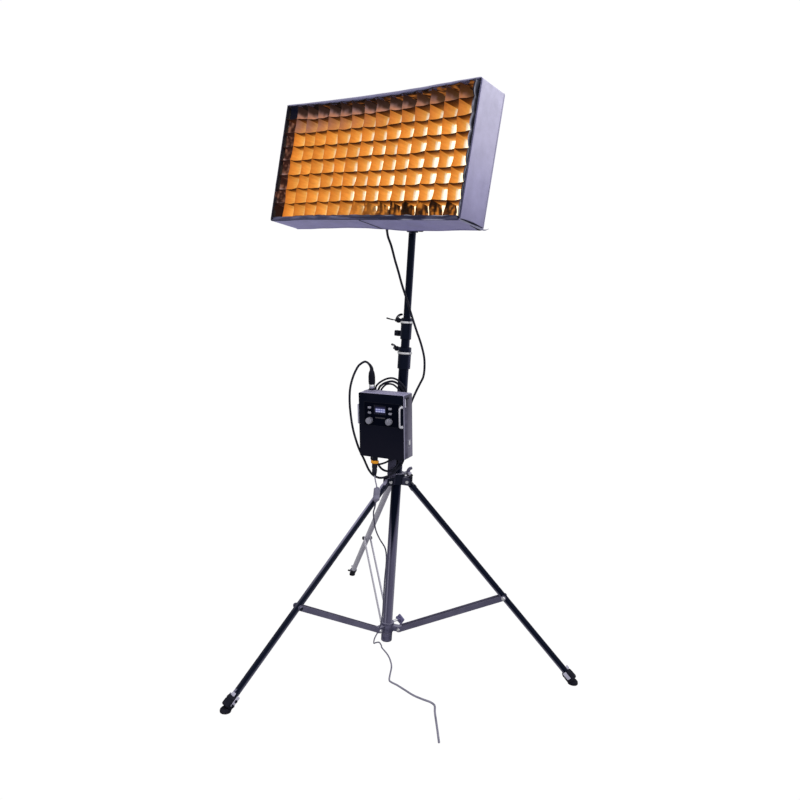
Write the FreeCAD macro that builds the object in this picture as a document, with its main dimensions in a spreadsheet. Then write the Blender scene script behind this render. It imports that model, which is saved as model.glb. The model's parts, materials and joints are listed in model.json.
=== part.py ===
import FreeCAD, Part
import Sketcher
import math
import os

# Bi-colour LED panel light with a fabric softbox and egg-crate grid, on a
# three-leg telescoping stand, with a separate control box carried on the hub.
# Frame: +Z up, origin on the ground under the column, the lit face looks to -Y.
# All lengths are in millimetres and all angles in degrees.

Vector = FreeCAD.Vector
Rotation = FreeCAD.Rotation
Placement = FreeCAD.Placement
ORIGIN = Vector(0, 0, 0)
X_DIR, Y_DIR, Z_DIR = Vector(1, 0, 0), Vector(0, 1, 0), Vector(0, 0, 1)

# Sketch planes. A sketch's own x, y and normal run along
# XY: +X, +Y, +Z    XZ: +X, +Z, -Y    YZ: +Y, +Z, +X
# A pad follows the normal and a pocket goes against it, unless reversed.
XY, XZ, YZ = "XY_Plane", "XZ_Plane", "YZ_Plane"

doc = FreeCAD.newDocument("LedPanelLight")
sheet = doc.addObject("Spreadsheet::Sheet", "Sizes")
aliases = []
nodes = []


# ------------------------------------------------------ sizes with expressions
class Dim(float):
    """A number that also carries the sheet expression that gives it."""

    def __new__(cls, value, expression=None):
        self = super().__new__(cls, value)
        self.expression = expression or repr(float(value))
        return self

    def __add__(self, other):
        return combine(self, "+", other)

    def __radd__(self, other):
        return combine(other, "+", self)

    def __sub__(self, other):
        return combine(self, "-", other)

    def __rsub__(self, other):
        return combine(other, "-", self)

    def __mul__(self, other):
        return combine(self, "*", other)

    def __rmul__(self, other):
        return combine(other, "*", self)

    def __truediv__(self, other):
        return combine(self, "/", other)

    def __neg__(self):
        return combine(-1, "*", self)


OPERATIONS = {"+": float.__add__, "-": float.__sub__, "*": float.__mul__, "/": float.__truediv__}


def dim(number):
    return number if isinstance(number, Dim) else Dim(number)


def combine(left, sign, right):
    left, right = dim(left), dim(right)
    value = OPERATIONS[sign](float(left), float(right))
    return Dim(value, "(%s %s %s)" % (left.expression, sign, right.expression))


def bind(target, path, value):
    """Drive a property from the sheet when its value depends on the sheet."""
    if "Sizes." in value.expression:
        target.setExpression(path, value.expression)


def size(alias, value, note):
    """Enter a driving dimension in the sheet and return it."""
    aliases.append(alias)
    row = len(aliases)
    sheet.set("A%d" % row, note)
    sheet.set("B%d" % row, str(value))
    sheet.setAlias("B%d" % row, alias)
    return Dim(value, "Sizes." + alias)


# Column tubes
base_outer_r = size("base_outer_r", 15.35, "base tube, outer radius")
base_inner_r = size("base_inner_r", 13.25, "base tube, inner radius")
mid_outer_r = size("mid_outer_r", 13.15, "middle tube, outer radius")
mid_inner_r = size("mid_inner_r", 11.05, "middle tube, inner radius")
top_outer_r = size("top_outer_r", 10.95, "top tube, outer radius")
top_inner_r = size("top_inner_r", 9.3, "top tube, inner radius")
base_low = size("base_low", 30.0, "base tube, lower end")
base_high = size("base_high", 958.0, "base tube, upper end, inside its collar")
mid_low = size("mid_low", 120.0, "middle tube, lower end")
mid_high = size("mid_high", 1046.0, "middle tube, upper end, inside its collar")
top_low = size("top_low", 560.0, "top tube, lower end")
top_high = size("top_high", 1306.0, "top tube, upper end")
fit_gap = size("fit_gap", 0.05, "running clearance, radial")

# Hub
hub_pivot_z = size("hub_pivot_z", 557.5, "leg pivot height")
hub_pivot_r = size("hub_pivot_r", 37.0, "leg pivot distance from the column axis")
hub_r = size("hub_r", 25.0, "hub ring, outer radius")
hub_low = size("hub_low", 548.0, "hub ring, lower face")
hub_high = size("hub_high", 579.0, "hub ring, upper face")
ear_wall = size("ear_wall", 5.0, "hub ear thickness")
ear_gap = size("ear_gap", 14.4, "distance between the two ears of a lug")
ear_low = size("ear_low", 546.5, "hub ears, lower face")
ear_high = size("ear_high", 570.5, "hub ears, upper face")
ear_reach = size("ear_reach", 48.5, "ears reach this far from the column axis")
pin_r = size("pin_r", 3.0, "leg and brace pivot pins, radius")
pin_gap = size("pin_gap", 0.06, "clearance round pins and the tilt bolt, radial")

# Legs, braces and feet
leg_turn = size("leg_turn", -6.2, "turn of the leg set about the column, degrees")
foot_reach = size("foot_reach", 602.4, "foot distance from the column axis")
leg_outer_r = size("leg_outer_r", 9.5, "leg tube, outer radius")
leg_inner_r = size("leg_inner_r", 8.2, "leg tube, inner radius")
brace_share = size("brace_share", 0.5748, "share of the leg at which the brace joins")
brace_pivot_z = size("brace_pivot_z", 72.0, "brace pivot height on the brace collar")
brace_pivot_r = size("brace_pivot_r", 40.0, "brace pivot distance from the column axis")
lug_half = size("lug_half", 9.0, "half width of a brace collar lug")
bar_inner = size("bar_inner", 10.2, "inner face of a brace bar from the leg plane")
bar_wall = size("bar_wall", 2.6, "brace bar thickness")
bar_half = size("bar_half", 8.0, "half height of a brace bar")
foot_r = size("foot_r", 16.0, "rubber foot, radius")
foot_height = size("foot_height", 17.0, "rubber foot, height")

# Section collars and lock screws
lower_low = size("lower_low", 906.0, "lower section collar, lower end")
lower_high = size("lower_high", 971.0, "lower section collar, upper end")
lower_r = size("lower_r", 19.6, "lower section collar, outer radius")
upper_low = size("upper_low", 995.0, "upper section collar, lower end")
upper_high = size("upper_high", 1059.0, "upper section collar, upper end")
upper_r = size("upper_r", 16.6, "upper section collar, outer radius")
screw_r = size("screw_r", 3.0, "lock screws, shank radius")
screw_hole_r = size("screw_hole_r", 3.1, "holes for the lock screws, radius")

# Stud and pan head
stud_r = size("stud_r", 7.9, "stud radius")
stud_high = size("stud_high", 1362.0, "stud upper end")
receiver_low = size("receiver_low", 1311.0, "receiver barrel, lower end")
receiver_high = size("receiver_high", 1372.0, "receiver barrel, upper end")
receiver_r = size("receiver_r", 17.0, "receiver barrel, radius")
tilt_axis_z = size("tilt_axis_z", 1462.0, "tilt axis height")
fork_inner = size("fork_inner", 8.1, "half width between the fork cheeks")
fork_wall = size("fork_wall", 7.0, "fork cheek thickness")
bolt_r = size("bolt_r", 5.0, "tilt bolt radius")

# Panel
panel_tilt = size("panel_tilt", 8.5, "rest tilt of the panel, degrees")
panel_gap = size("panel_gap", 118.5, "softbox back plane in front of the column axis")
panel_z = size("panel_z", 1478.0, "height of the back plane's centre")
shell_width = size("shell_width", 690.0, "softbox width")
shell_height = size("shell_height", 345.0, "softbox height")
shell_depth = size("shell_depth", 106.0, "softbox depth")
fabric = size("fabric", 2.0, "softbox fabric wall")
grid_columns = int(size("grid_columns", 15, "grid cells across"))
grid_rows = int(size("grid_rows", 8, "grid cells up"))
grid_width = size("grid_width", 672.0, "grid width")
grid_height = size("grid_height", 328.0, "grid height")
grid_wall = size("grid_wall", 1.2, "grid wall")
grid_front = size("grid_front", 101.0, "grid front edge, from the back plane")
grid_depth = size("grid_depth", 46.0, "grid depth")
mat_width = size("mat_width", 610.0, "LED mat width")
mat_height = size("mat_height", 305.0, "LED mat height")

# Control box
box_width = size("box_width", 150.0, "control box width")
box_height = size("box_height", 194.0, "control box height")
box_depth = size("box_depth", 56.0, "control box depth")
box_split = size("box_split", -4.0, "joint between the case halves, along y")
box_wall = size("box_wall", 2.5, "control box wall")
box_yaw = size("box_yaw", 12.1, "turn of the box and its bracket about Z, degrees")


# --------------------------------------------------------------- sketch shapes
def fix_point(sketch, geometry, point, x, y):
    """Fix a sketch point by its distances from the origin (-2 and -1 are the axes)."""
    for kind, value, axis in (("DistanceX", dim(x), -2), ("DistanceY", dim(y), -1)):
        if abs(value) < 1e-9:
            sketch.addConstraint(Sketcher.Constraint("PointOnObject", geometry, point, axis))
        else:
            index = sketch.addConstraint(
                Sketcher.Constraint(kind, -1, 1, geometry, point, float(value)))
            bind(sketch, "Constraints[%d]" % index, value)


def disc(radius, x=0, y=0):
    def draw(sketch):
        geometry = sketch.addGeometry(Part.Circle(Vector(x, y, 0), Z_DIR, float(radius)))
        index = sketch.addConstraint(Sketcher.Constraint("Radius", geometry, float(radius)))
        bind(sketch, "Constraints[%d]" % index, dim(radius))
        fix_point(sketch, geometry, 3, x, y)
    return draw


def outline(points):
    def draw(sketch):
        lines = []
        for start, end in zip(points, points[1:] + points[:1]):
            lines.append(sketch.addGeometry(Part.LineSegment(Vector(*start, 0), Vector(*end, 0))))
        for line, following in zip(lines, lines[1:] + lines[:1]):
            sketch.addConstraint(Sketcher.Constraint("Coincident", line, 2, following, 1))
        for line, (x, y) in zip(lines, points):
            fix_point(sketch, line, 1, x, y)
    return draw


def block(width, height, x=0, y=0):
    half_width, half_height = dim(width) / 2, dim(height) / 2
    return outline([(x - half_width, y - half_height), (x + half_width, y - half_height),
                    (x + half_width, y + half_height), (x - half_width, y + half_height)])


def hexagon(radius, x, y):
    corners = [math.radians(60 * k) for k in range(6)]
    return [(float(x) + radius * math.cos(a), float(y) + radius * math.sin(a)) for a in corners]


# --------------------------------------------------------------- body features
def new_body(label):
    body = doc.addObject("PartDesign::Body", label)
    body.Label = label
    nodes.append(body)
    return body


def origin_part(body, role):
    return [part for part in body.Origin.OriginFeatures if part.Role == role][0]


def new_sketch(body, plane, offset, shapes):
    sketch = body.newObject("Sketcher::SketchObject", "Sketch")
    sketch.AttachmentSupport = [(origin_part(body, plane), "")]
    sketch.MapMode = "FlatFace"
    sketch.AttachmentOffset = Placement(Vector(0, 0, offset), Rotation())
    bind(sketch, "AttachmentOffset.Base.z", dim(offset))
    for draw in shapes:
        draw(sketch)
    return sketch


def extrude(kind, body, sketch, length, reverse, midplane):
    made = body.newObject("PartDesign::" + kind, kind)
    made.Profile = sketch
    made.Length = float(length)
    bind(made, "Length", dim(length))
    made.Reversed = reverse
    if midplane:
        made.Midplane = True
    return made


def pad(body, plane, offset, length, *shapes, reverse=False, midplane=False):
    sketch = new_sketch(body, plane, offset, shapes)
    made = extrude("Pad", body, sketch, length, reverse, midplane)
    sketch.Visibility = False
    return made


def pocket(body, plane, offset, length, *shapes, reverse=False, midplane=False):
    sketch = new_sketch(body, plane, offset, shapes)
    doc.recompute()
    return extrude("Pocket", body, sketch, length, reverse, midplane)


def revolve(body, profile):
    """Turn a profile of (radius, height) points about the body's Z axis."""
    sketch = new_sketch(body, XZ, 0, [outline(profile)])
    turned = body.newObject("PartDesign::Revolution", "Revolution")
    turned.Profile = sketch
    turned.ReferenceAxis = (sketch, ["V_Axis"])
    turned.Angle = 360.0


def turned_body(label, profile):
    body = new_body(label)
    revolve(body, profile)
    return body


def tube(label, outer_r, inner_r, low, high):
    body = new_body(label)
    pad(body, XY, low, high - low, disc(outer_r), disc(inner_r))
    return body


def repeat_for_legs(body, features):
    doc.recompute()
    pattern = body.newObject("PartDesign::PolarPattern", "Polar")
    pattern.Originals = features
    pattern.Axis = (origin_part(body, "Z_Axis"), [""])
    pattern.Angle = 360
    pattern.Occurrences = 3
    body.Tip = pattern


def edge_middle(edge):
    return edge.valueAt((edge.FirstParameter + edge.LastParameter) / 2)


def runs_along(edge, direction):
    span = edge.valueAt(edge.LastParameter) - edge.valueAt(edge.FirstParameter)
    return abs(span.dot(direction)) > 1 and span.cross(direction).Length < 1e-6


def along_y(edge):
    return runs_along(edge, Y_DIR)


def dress_edges(body, kind, base, test, **amount):
    """Fillet (Radius=) or chamfer (Size=) the edges of base that pass the test."""
    doc.recompute()
    names = ["Edge%d" % number for number, edge in enumerate(base.Shape.Edges, 1) if test(edge)]
    dressed = body.newObject("PartDesign::" + kind, kind)
    dressed.Base = (base, names)
    for name, value in amount.items():
        setattr(dressed, name, value)
    doc.recompute()


def add_feature(label, shape, placement=None):
    made = doc.addObject("Part::Feature", label)
    made.Label = label
    made.Shape = shape
    if placement is not None:
        made.Placement = placement
    nodes.append(made)


def sweep(points, radius):
    """Round cable along a smooth curve through the points."""
    curve = Part.BSplineCurve()
    curve.interpolate(points)
    path = Part.Wire([curve.toShape()])
    direction = curve.tangent(curve.FirstParameter)[0]
    profile = Part.Wire([Part.makeCircle(radius, points[0], direction)])
    return path.makePipeShell([profile], True, True)


# ------------------------------------------------------------------ placements
def leg_place(index):
    """Turns local -Y to the direction of a leg about the column axis."""
    return Placement(ORIGIN, Rotation(Z_DIR, leg_turn + 120 * index))


def radial_place(height, azimuth, distance):
    """Local +Z outwards at the azimuth (0 is -Y, 90 is +X), local +Y up."""
    angle = math.radians(azimuth)
    outward = Vector(math.sin(angle), -math.cos(angle), 0)
    return Placement(Vector(outward.x * distance, outward.y * distance, height),
                     Rotation(X_DIR, Z_DIR, outward, "ZYX"))


# ----------------------------------------------------------- screws and pins
brace_lock_z = brace_pivot_z + 9.5
hub_lock_z = 566.0
lower_knob_z = lower_high - 7.0
upper_tee_z = upper_high - 9.5
upper_knob_z = upper_low + 15.8
pan_lock_z = receiver_low + 13


def add_tee(body, height, half_length, radius):
    """Round crossbar along local X."""
    pad(body, YZ, -half_length, 2 * half_length, disc(radius, 0, height))


def tee_lock(label, shank_length, bar_r, height):
    """T-handled screw in the base tube's collar or hub, opposite the front leg."""
    body = turned_body(label, [
        (0, 0), (screw_r, 0), (screw_r, shank_length), (6.0, shank_length + 2),
        (6.0, 36), (0, 36)])
    add_tee(body, 38.5, 13, bar_r)
    body.Placement = radial_place(height, leg_turn + 180, base_outer_r + 0.3)


def pivot_pins(label, half_grip, overhang, head_gap, head, pivot_r, pivot_z):
    """Three pins, each with two conical heads (inner radius, outer radius, height)."""
    pins = []
    for index in range(3):
        pin = Part.makeCylinder(pin_r, 2 * (half_grip + overhang),
                                Vector(-half_grip - overhang, -pivot_r, pivot_z), X_DIR)
        for side in (-1, 1):
            start = Vector(side * (half_grip + head_gap), -pivot_r, pivot_z)
            pin = pin.fuse(Part.makeCone(*head, start, Vector(side, 0, 0)))
        pin = pin.removeSplitter()
        pin.rotate(ORIGIN, Z_DIR, leg_turn + 120 * index)
        pins.append(pin)
    add_feature(label, Part.makeCompound(pins))


# ------------------------------------------------------------------ column base
def base_end_cap():
    outer, inner = base_outer_r + fit_gap, base_inner_r - fit_gap
    rim = base_outer_r + 2.2
    turned_body("base_end_cap", [
        (0, base_low - 5), (base_outer_r + 1.2, base_low - 5), (rim, base_low - 3.6),
        (rim, base_low + 22.6), (base_outer_r + 1.4, base_low + 24), (outer, base_low + 24),
        (outer, base_low - fit_gap), (inner, base_low - fit_gap),
        (inner, base_low + 12), (0, base_low + 12)])


def brace_collar():
    """Ring with three lugs that carry the braces."""
    body = new_body("brace_collar")
    pad(body, XY, brace_pivot_z - 13, 29, disc(base_outer_r + 6))
    lug_end = -(brace_pivot_r + 7)
    lug = pad(body, XY, brace_pivot_z - 8, 16, outline([
        (-lug_half, -10), (lug_half, -10), (lug_half, lug_end), (-lug_half, lug_end)]))
    pin_hole = pocket(body, YZ, 0, 60, disc(pin_r + pin_gap, -brace_pivot_r, brace_pivot_z),
                      midplane=True)
    repeat_for_legs(body, [lug, pin_hole])
    pocket(body, XY, 20, 300, disc(base_outer_r + fit_gap), reverse=True)
    pocket(body, XZ, 0, 40, disc(screw_hole_r, 0, brace_lock_z))
    body.Placement = leg_place(0)


# -------------------------------------------------------------- section collars
def section_collar(label, outer_r, next_r, tube_end, radius, low, high, bead_high,
                   bosses, clear_below=False):
    """Sleeve over a tube end with bosses (radius, height, reach) on the -X side."""
    seat = tube_end + 0.1
    bore_r, next_bore_r = outer_r + fit_gap, next_r + fit_gap
    bead_r = radius + 1.2
    body = turned_body(label, [
        (bore_r, low), (radius - 1, low), (radius, low + 1), (radius, low + 44),
        (bead_r, low + 45.5), (bead_r, low + bead_high), (radius, low + bead_high + 1.5),
        (radius, high - 1.5), (radius - 1.5, high), (next_bore_r, high),
        (next_bore_r, seat), (bore_r, seat)])
    for boss_r, height, reach in bosses:
        pad(body, YZ, 0, reach, disc(boss_r, 0, height), reverse=True)
    # clear the bosses out of the bore again
    pocket(body, XY, high + 5, high + 5 - seat, disc(next_bore_r))
    if clear_below:
        pocket(body, XY, seat, 60, disc(bore_r))
    pocket(body, YZ, 0, 40, *[disc(screw_hole_r, 0, height) for _, height, _ in bosses])


def lower_section_knob():
    body = turned_body("lower_section_knob", [
        (0, 0), (screw_r, 0), (screw_r, 12), (6.0, 13), (7.5, 16), (7.5, 22), (6.0, 24), (0, 24)])
    # flat flared grip on the end
    pad(body, XZ, 0, 5, outline([(-3.2, 18), (3.2, 18), (4.2, 30), (-4.2, 30)]), midplane=True)
    body.Placement = radial_place(lower_knob_z, -90, mid_outer_r + 0.3)


def upper_tee_handle():
    body = turned_body("upper_tee_handle", [
        (0, 0), (screw_r, 0), (screw_r, 12), (5.0, 13), (7.5, 18), (7.5, 24), (5.0, 26), (0, 26)])
    add_tee(body, 21, 13, 4.0)
    # thin rod outwards from the end
    pad(body, XY, 25, 19, disc(1.6))
    body.Placement = radial_place(upper_tee_z, -90, top_outer_r + 0.4)


def upper_collar_knob():
    """Square knob with rounded corners on a round shank."""
    shank = 11
    body = turned_body("upper_collar_knob", [(0, 0), (screw_r, 0), (screw_r, shank), (0, shank)])
    head = pad(body, XY, shank, 14, block(17, 17))
    dress_edges(body, "Fillet", head,
                lambda edge: runs_along(edge, Z_DIR) and edge_middle(edge).z > 10, Radius=3.5)
    body.Placement = radial_place(upper_knob_z, -90, mid_outer_r + 0.3)


# -------------------------------------------------------------------------- hub
def tripod_hub():
    """Ring with a slotted lug for each leg."""
    body = new_body("tripod_hub")
    pad(body, XY, hub_low, hub_high - hub_low, disc(hub_r))
    half = ear_gap / 2 + ear_wall
    lug = pad(body, XY, ear_low, ear_high - ear_low, outline([
        (-half, -12), (half, -12), (half, -(ear_reach - 4)), (half - 3, -ear_reach),
        (-(half - 3), -ear_reach), (-half, -(ear_reach - 4))]))
    slot_half, slot_end = ear_gap / 2, -(ear_reach + 6)
    slot = pocket(body, XY, ear_low - 5, 60, outline([
        (-slot_half, -28), (slot_half, -28), (slot_half, slot_end), (-slot_half, slot_end)]),
        reverse=True)
    pin_hole = pocket(body, YZ, 0, 80, disc(pin_r + pin_gap, -hub_pivot_r, hub_pivot_z),
                      midplane=True)
    repeat_for_legs(body, [lug, slot, pin_hole])
    pocket(body, XY, 500, 200, disc(base_outer_r + fit_gap), reverse=True)
    pocket(body, XZ, 0, 60, disc(screw_hole_r, 0, hub_lock_z))
    body.Placement = leg_place(0)


# ------------------------------------------------------------------------- legs
LEG_NAMES = ["front", "right", "rear"]
leg_start = Vector(0, -hub_pivot_r, hub_pivot_z)
leg_vector = Vector(0, -(foot_reach - hub_pivot_r), -hub_pivot_z)
leg_length = leg_vector.Length
leg_sleeve_end = 30.0
leg_tube_end = leg_length - 32.0
boot_overlap = 26.0


def along_leg(index):
    """Local +Z runs from the hub pivot down the leg; local X is the pivot axis."""
    turn = Rotation(X_DIR, Z_DIR.cross(X_DIR), leg_vector, "ZXY")
    return leg_place(index).multiply(Placement(leg_start, turn))


def leg_end(index, name):
    """Rounded tongue between the hub ears, with a plug into the leg tube."""
    body = new_body("leg_end_" + name)
    tongue_r = 7.4
    tongue_width = ear_gap - 0.4
    pad(body, YZ, 0, tongue_width, disc(tongue_r), midplane=True)
    pad(body, YZ, 0, tongue_width, outline([
        (-tongue_r, 0), (tongue_r, 0), (tongue_r, 22), (-tongue_r, 22)]), midplane=True)
    pad(body, XY, leg_sleeve_end - 10, 10, disc(leg_outer_r + 1.3))
    pad(body, XY, leg_sleeve_end - 1, 26, disc(leg_inner_r - 0.1))
    pocket(body, YZ, 0, 40, disc(pin_r + pin_gap), midplane=True)
    body.Placement = along_leg(index)


def leg_tube(index, name):
    body = tube("leg_tube_" + name, leg_outer_r, leg_inner_r, leg_sleeve_end + 0.1, leg_tube_end)
    body.Placement = along_leg(index)


def foot(index, name):
    """Rubber foot: round pad on the ground and a boot round the tube end."""
    down_leg = Vector(leg_vector)
    down_leg.normalize()
    boot_start = leg_tube_end - boot_overlap
    shape = Part.makeCylinder(leg_outer_r + 3.0, leg_length - boot_start - 2.0,
                              leg_start + down_leg * boot_start, down_leg)
    shape = shape.fuse(
        Part.makeCylinder(foot_r, foot_height, Vector(0, -foot_reach + 2, 0), Z_DIR))
    # trim below the ground, then cut the socket for the leg tube
    shape = shape.cut(Part.makeBox(200, 200, 60, Vector(-100, -foot_reach - 100, -60)))
    shape = shape.cut(Part.makeCylinder(leg_outer_r + fit_gap, boot_overlap + 0.1 + 1.0,
                                        leg_start + down_leg * (boot_start - 1.0), down_leg))
    add_feature("foot_" + name, shape.removeSplitter(), leg_place(index))


def brace(index, name):
    """Two flat bars with stub rivets at the leg end, stopping short of the leg tube."""
    start = Vector(0, -brace_pivot_r, brace_pivot_z)
    end = Vector(0, -(hub_pivot_r + brace_share * (foot_reach - hub_pivot_r)),
                 hub_pivot_z * (1 - brace_share))
    run = end - start
    length = run.Length
    stub_start = leg_outer_r + 0.25
    bars = []
    for side in (-1, 1):
        x = bar_inner if side > 0 else -bar_inner - bar_wall
        bar = Part.makeBox(bar_wall, length, 2 * bar_half, Vector(x, 0, -bar_half))
        for y in (0, length):
            bar = bar.fuse(Part.makeCylinder(bar_half, bar_wall, Vector(x, y, 0), X_DIR))
        bar = bar.cut(
            Part.makeCylinder(pin_r + pin_gap, bar_wall + 2, Vector(x - 1, 0, 0), X_DIR))
        stub = Part.makeCylinder(4.0, bar_inner + bar_wall + 2.4 - stub_start,
                                 Vector(stub_start * side, length, 0), Vector(side, 0, 0))
        bars.append(bar.fuse(stub).removeSplitter())
    # local +Y runs from the collar pivot to the leg
    turn = Rotation(X_DIR, run, X_DIR.cross(run), "XYZ")
    add_feature("brace_" + name, Part.makeCompound(bars),
                leg_place(index).multiply(Placement(start, turn)))


# ----------------------------------------------------------- top stud and cable
def top_stud():
    """Plug in the top tube, with a grooved stud above it."""
    plug_r, groove_r = top_inner_r - fit_gap, stud_r - 1.6
    turned_body("top_stud", [
        (0, top_high - 30), (plug_r, top_high - 30), (plug_r, top_high + fit_gap),
        (top_outer_r, top_high + fit_gap), (top_outer_r, top_high + 4), (stud_r, top_high + 4),
        (stud_r, top_high + 26), (groove_r, top_high + 28), (groove_r, top_high + 36),
        (stud_r, top_high + 38), (stud_r, stud_high - 1), (stud_r - 1, stud_high),
        (0, stud_high)])


cable_r = 3.0
# x, y, z
PANEL_CABLE = [(27, -12, 1185), (33, 0, 1100), (46, 10, 1010), (58, 20, 960), (62, 26, 935)]

# --------------------------------------------------------------------- pan head
fork_outer = fork_inner + fork_wall
bolt_hole_r = bolt_r + pin_gap


def pan_receiver():
    """Barrel over the stud, with a neck and a fork for the tilt arm."""
    body = new_body("pan_receiver")
    axis = tilt_axis_z
    pad(body, XY, receiver_low, receiver_high - receiver_low, disc(receiver_r))
    pad(body, XY, receiver_high - 1, axis - receiver_high - 26, block(30, 20))
    pad(body, YZ, -fork_outer, fork_outer * 2, outline([
        (-10, axis - 30), (10, axis - 30), (14, axis), (8, axis + 13),
        (-8, axis + 13), (-14, axis)]))
    pocket(body, YZ, -fork_inner, fork_inner * 2, outline([
        (-40, axis - 22), (40, axis - 22), (40, axis + 40), (-40, axis + 40)]), reverse=True)
    pocket(body, YZ, 0, 80, disc(bolt_r + fit_gap, 0, axis), midplane=True)
    pocket(body, XY, receiver_low - 10, 62, disc(stud_r + fit_gap), reverse=True)
    pocket(body, YZ, 0, 40, disc(screw_hole_r, 0, pan_lock_z), reverse=True)


def pan_lock_knob():
    body = turned_body("pan_lock_knob", [
        (0, 0), (screw_r, 0), (screw_r, 12), (9.0, 13.5), (11.5, 17), (11.5, 27),
        (9.5, 30), (0, 30)])
    body.Placement = radial_place(pan_lock_z, 90, stud_r + 0.4)


def tilt_bolt():
    body = new_body("tilt_bolt")
    pad(body, YZ, -fork_outer - 5, 4.9, outline(hexagon(8.5, 0, tilt_axis_z)))
    pad(body, YZ, -fork_outer - 1, fork_outer * 2 + 18, disc(bolt_r, 0, tilt_axis_z))


def tilt_lever():
    """Lever that locks the tilt, on the +X end of the bolt."""
    body = new_body("tilt_lever")
    axis = tilt_axis_z
    pad(body, YZ, fork_outer + 0.3, 15, disc(11, 0, axis), disc(bolt_hole_r, 0, axis))
    pad(body, YZ, fork_outer + 4, 9, outline([
        (6, axis - 6), (8.6, axis - 4), (34, axis - 40), (28, axis - 44)]))


# ------------------------------------------------------- panel (tilting group)
# Panel frame: y = 0 is the softbox's back plane, the lit side is towards -y.
panel_place = Placement(Vector(0, -panel_gap, panel_z), Rotation(X_DIR, -panel_tilt))
tilt_point = panel_place.inverse().multVec(Vector(0, 0, tilt_axis_z))
tilt_y = size("tilt_y", round(tilt_point.y, 6), "tilt axis in the panel frame, y")
tilt_z = size("tilt_z", round(tilt_point.z, 6), "tilt axis in the panel frame, z")


def tilt_arm():
    """Eye and bar between the fork cheeks, ending in a square flange."""
    body = new_body("tilt_arm")
    width = fork_inner * 2 - 0.4
    flange_back = 11.1
    bar_end, bar_low, bar_high = tilt_y - 4, tilt_z - 9, tilt_z + 9
    pad(body, YZ, 0, width, disc(12.5, tilt_y, tilt_z), midplane=True)
    pad(body, YZ, 0, width, outline([
        (flange_back, bar_low), (bar_end, bar_low), (bar_end, bar_high),
        (flange_back, bar_high)]), midplane=True)
    pad(body, XZ, -flange_back, 7, block(44, 44, 0, tilt_z), reverse=True)
    pocket(body, YZ, 0, 60, disc(bolt_hole_r, tilt_y, tilt_z), midplane=True)
    body.Placement = panel_place


def mount_plate():
    body = new_body("mount_plate")
    plate = pad(body, XZ, -5.0, 6, block(120, 84))
    dress_edges(body, "Fillet", plate, along_y, Radius=8)
    body.Placement = panel_place


def mount_screws():
    """Four socket-head screw heads, at the corners of a rectangle."""
    screws = []
    for x in (-50, 50):
        for z in (-32, 32):
            head = Part.makeCylinder(4.5, 4.0, Vector(x, 11.05, z), Y_DIR)
            corners = [Vector(a, 13.0, b) for a, b in hexagon(2.4, x, z)]
            socket = Part.Face(Part.makePolygon(corners + corners[:1])).extrude(Vector(0, 5, 0))
            screws.append(head.cut(socket))
    add_feature("mount_screws", Part.makeCompound(screws), panel_place)


def softbox_shell():
    """Thin-walled shell, open at the front, with a mount opening in the back."""
    body = new_body("softbox_shell")
    full = pad(body, XZ, 0, shell_depth, block(shell_width, shell_height))
    dress_edges(body, "Fillet", full, along_y, Radius=5)
    pocket(body, XZ, fabric, shell_depth,
           block(shell_width - 2 * fabric, shell_height - 2 * fabric), reverse=True)
    pocket(body, XZ, -1, fabric + 3, block(128, 92), reverse=True)
    body.Placement = panel_place


def fabric_grid():
    """Egg-crate: one block with a grid of cells through it."""
    back = -(grid_front - grid_depth)
    right, top = grid_width / 2, grid_height / 2
    column_pitch = (grid_width - grid_wall) / grid_columns
    row_pitch = (grid_height - grid_wall) / grid_rows

    def closed_wire(corners):
        return Part.makePolygon([Vector(x, back, z) for x, z in corners + corners[:1]])

    outer = closed_wire([(-right, -top), (right, -top), (right, top), (-right, top)])
    holes = []
    for column in range(grid_columns):
        for row in range(grid_rows):
            x0 = -right + grid_wall + column * column_pitch
            z0 = -top + grid_wall + row * row_pitch
            x1, z1 = x0 + column_pitch - grid_wall, z0 + row_pitch - grid_wall
            holes.append(closed_wire([(x0, z0), (x0, z1), (x1, z1), (x1, z0)]))
    face = Part.Face([outer] + holes)
    if not face.isValid():
        # guards against a face built wrongly from so many inner wires
        face = Part.Face(outer).cut(Part.makeCompound([Part.Face(hole) for hole in holes]))
    add_feature("fabric_grid", face.extrude(Vector(0, -grid_depth, 0)), panel_place)


def front_diffuser():
    body = new_body("front_diffuser")
    pad(body, XZ, grid_front - grid_depth - 4, 1.0,
        block(shell_width - 2 * fabric - 4, shell_height - 2 * fabric - 4), reverse=True)
    body.Placement = panel_place


def led_mat():
    body = new_body("led_mat")
    pad(body, XZ, 14, 2.5, block(mat_width, mat_height))
    body.Placement = panel_place


def led_chips():
    columns, rows = 12, 6
    pitch_x, pitch_z = 49.0, 48.0
    side = 5
    chips = []
    for column in range(columns):
        for row in range(rows):
            x = (column - (columns - 1) / 2) * pitch_x
            z = (row - (rows - 1) / 2) * pitch_z
            corner = Vector(x - side / 2, -17.75, z - side / 2)
            chips.append(Part.makeBox(side, 1.2, side, corner))
    add_feature("led_chips", Part.makeCompound(chips), panel_place)


def support_rods():
    """Four rods from near the centre out towards the corners, behind the mat."""
    rods = []
    for side_x in (-1, 1):
        for side_z in (-1, 1):
            start = Vector(side_x * 36, -8.5, side_z * 24)
            run = Vector(side_x * 322, -8.5, side_z * 152) - start
            rods.append(Part.makeCylinder(3.0, run.Length, start, run))
    add_feature("support_rods", Part.makeCompound(rods), panel_place)


def cable_gland():
    body = new_body("cable_gland")
    x, z = 20, -150
    pad(body, XZ, -0.1, 9, disc(9.5, x, z), reverse=True)
    pad(body, XY, z, 24, disc(4.0, x, 6), reverse=True)
    body.Placement = panel_place


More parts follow.
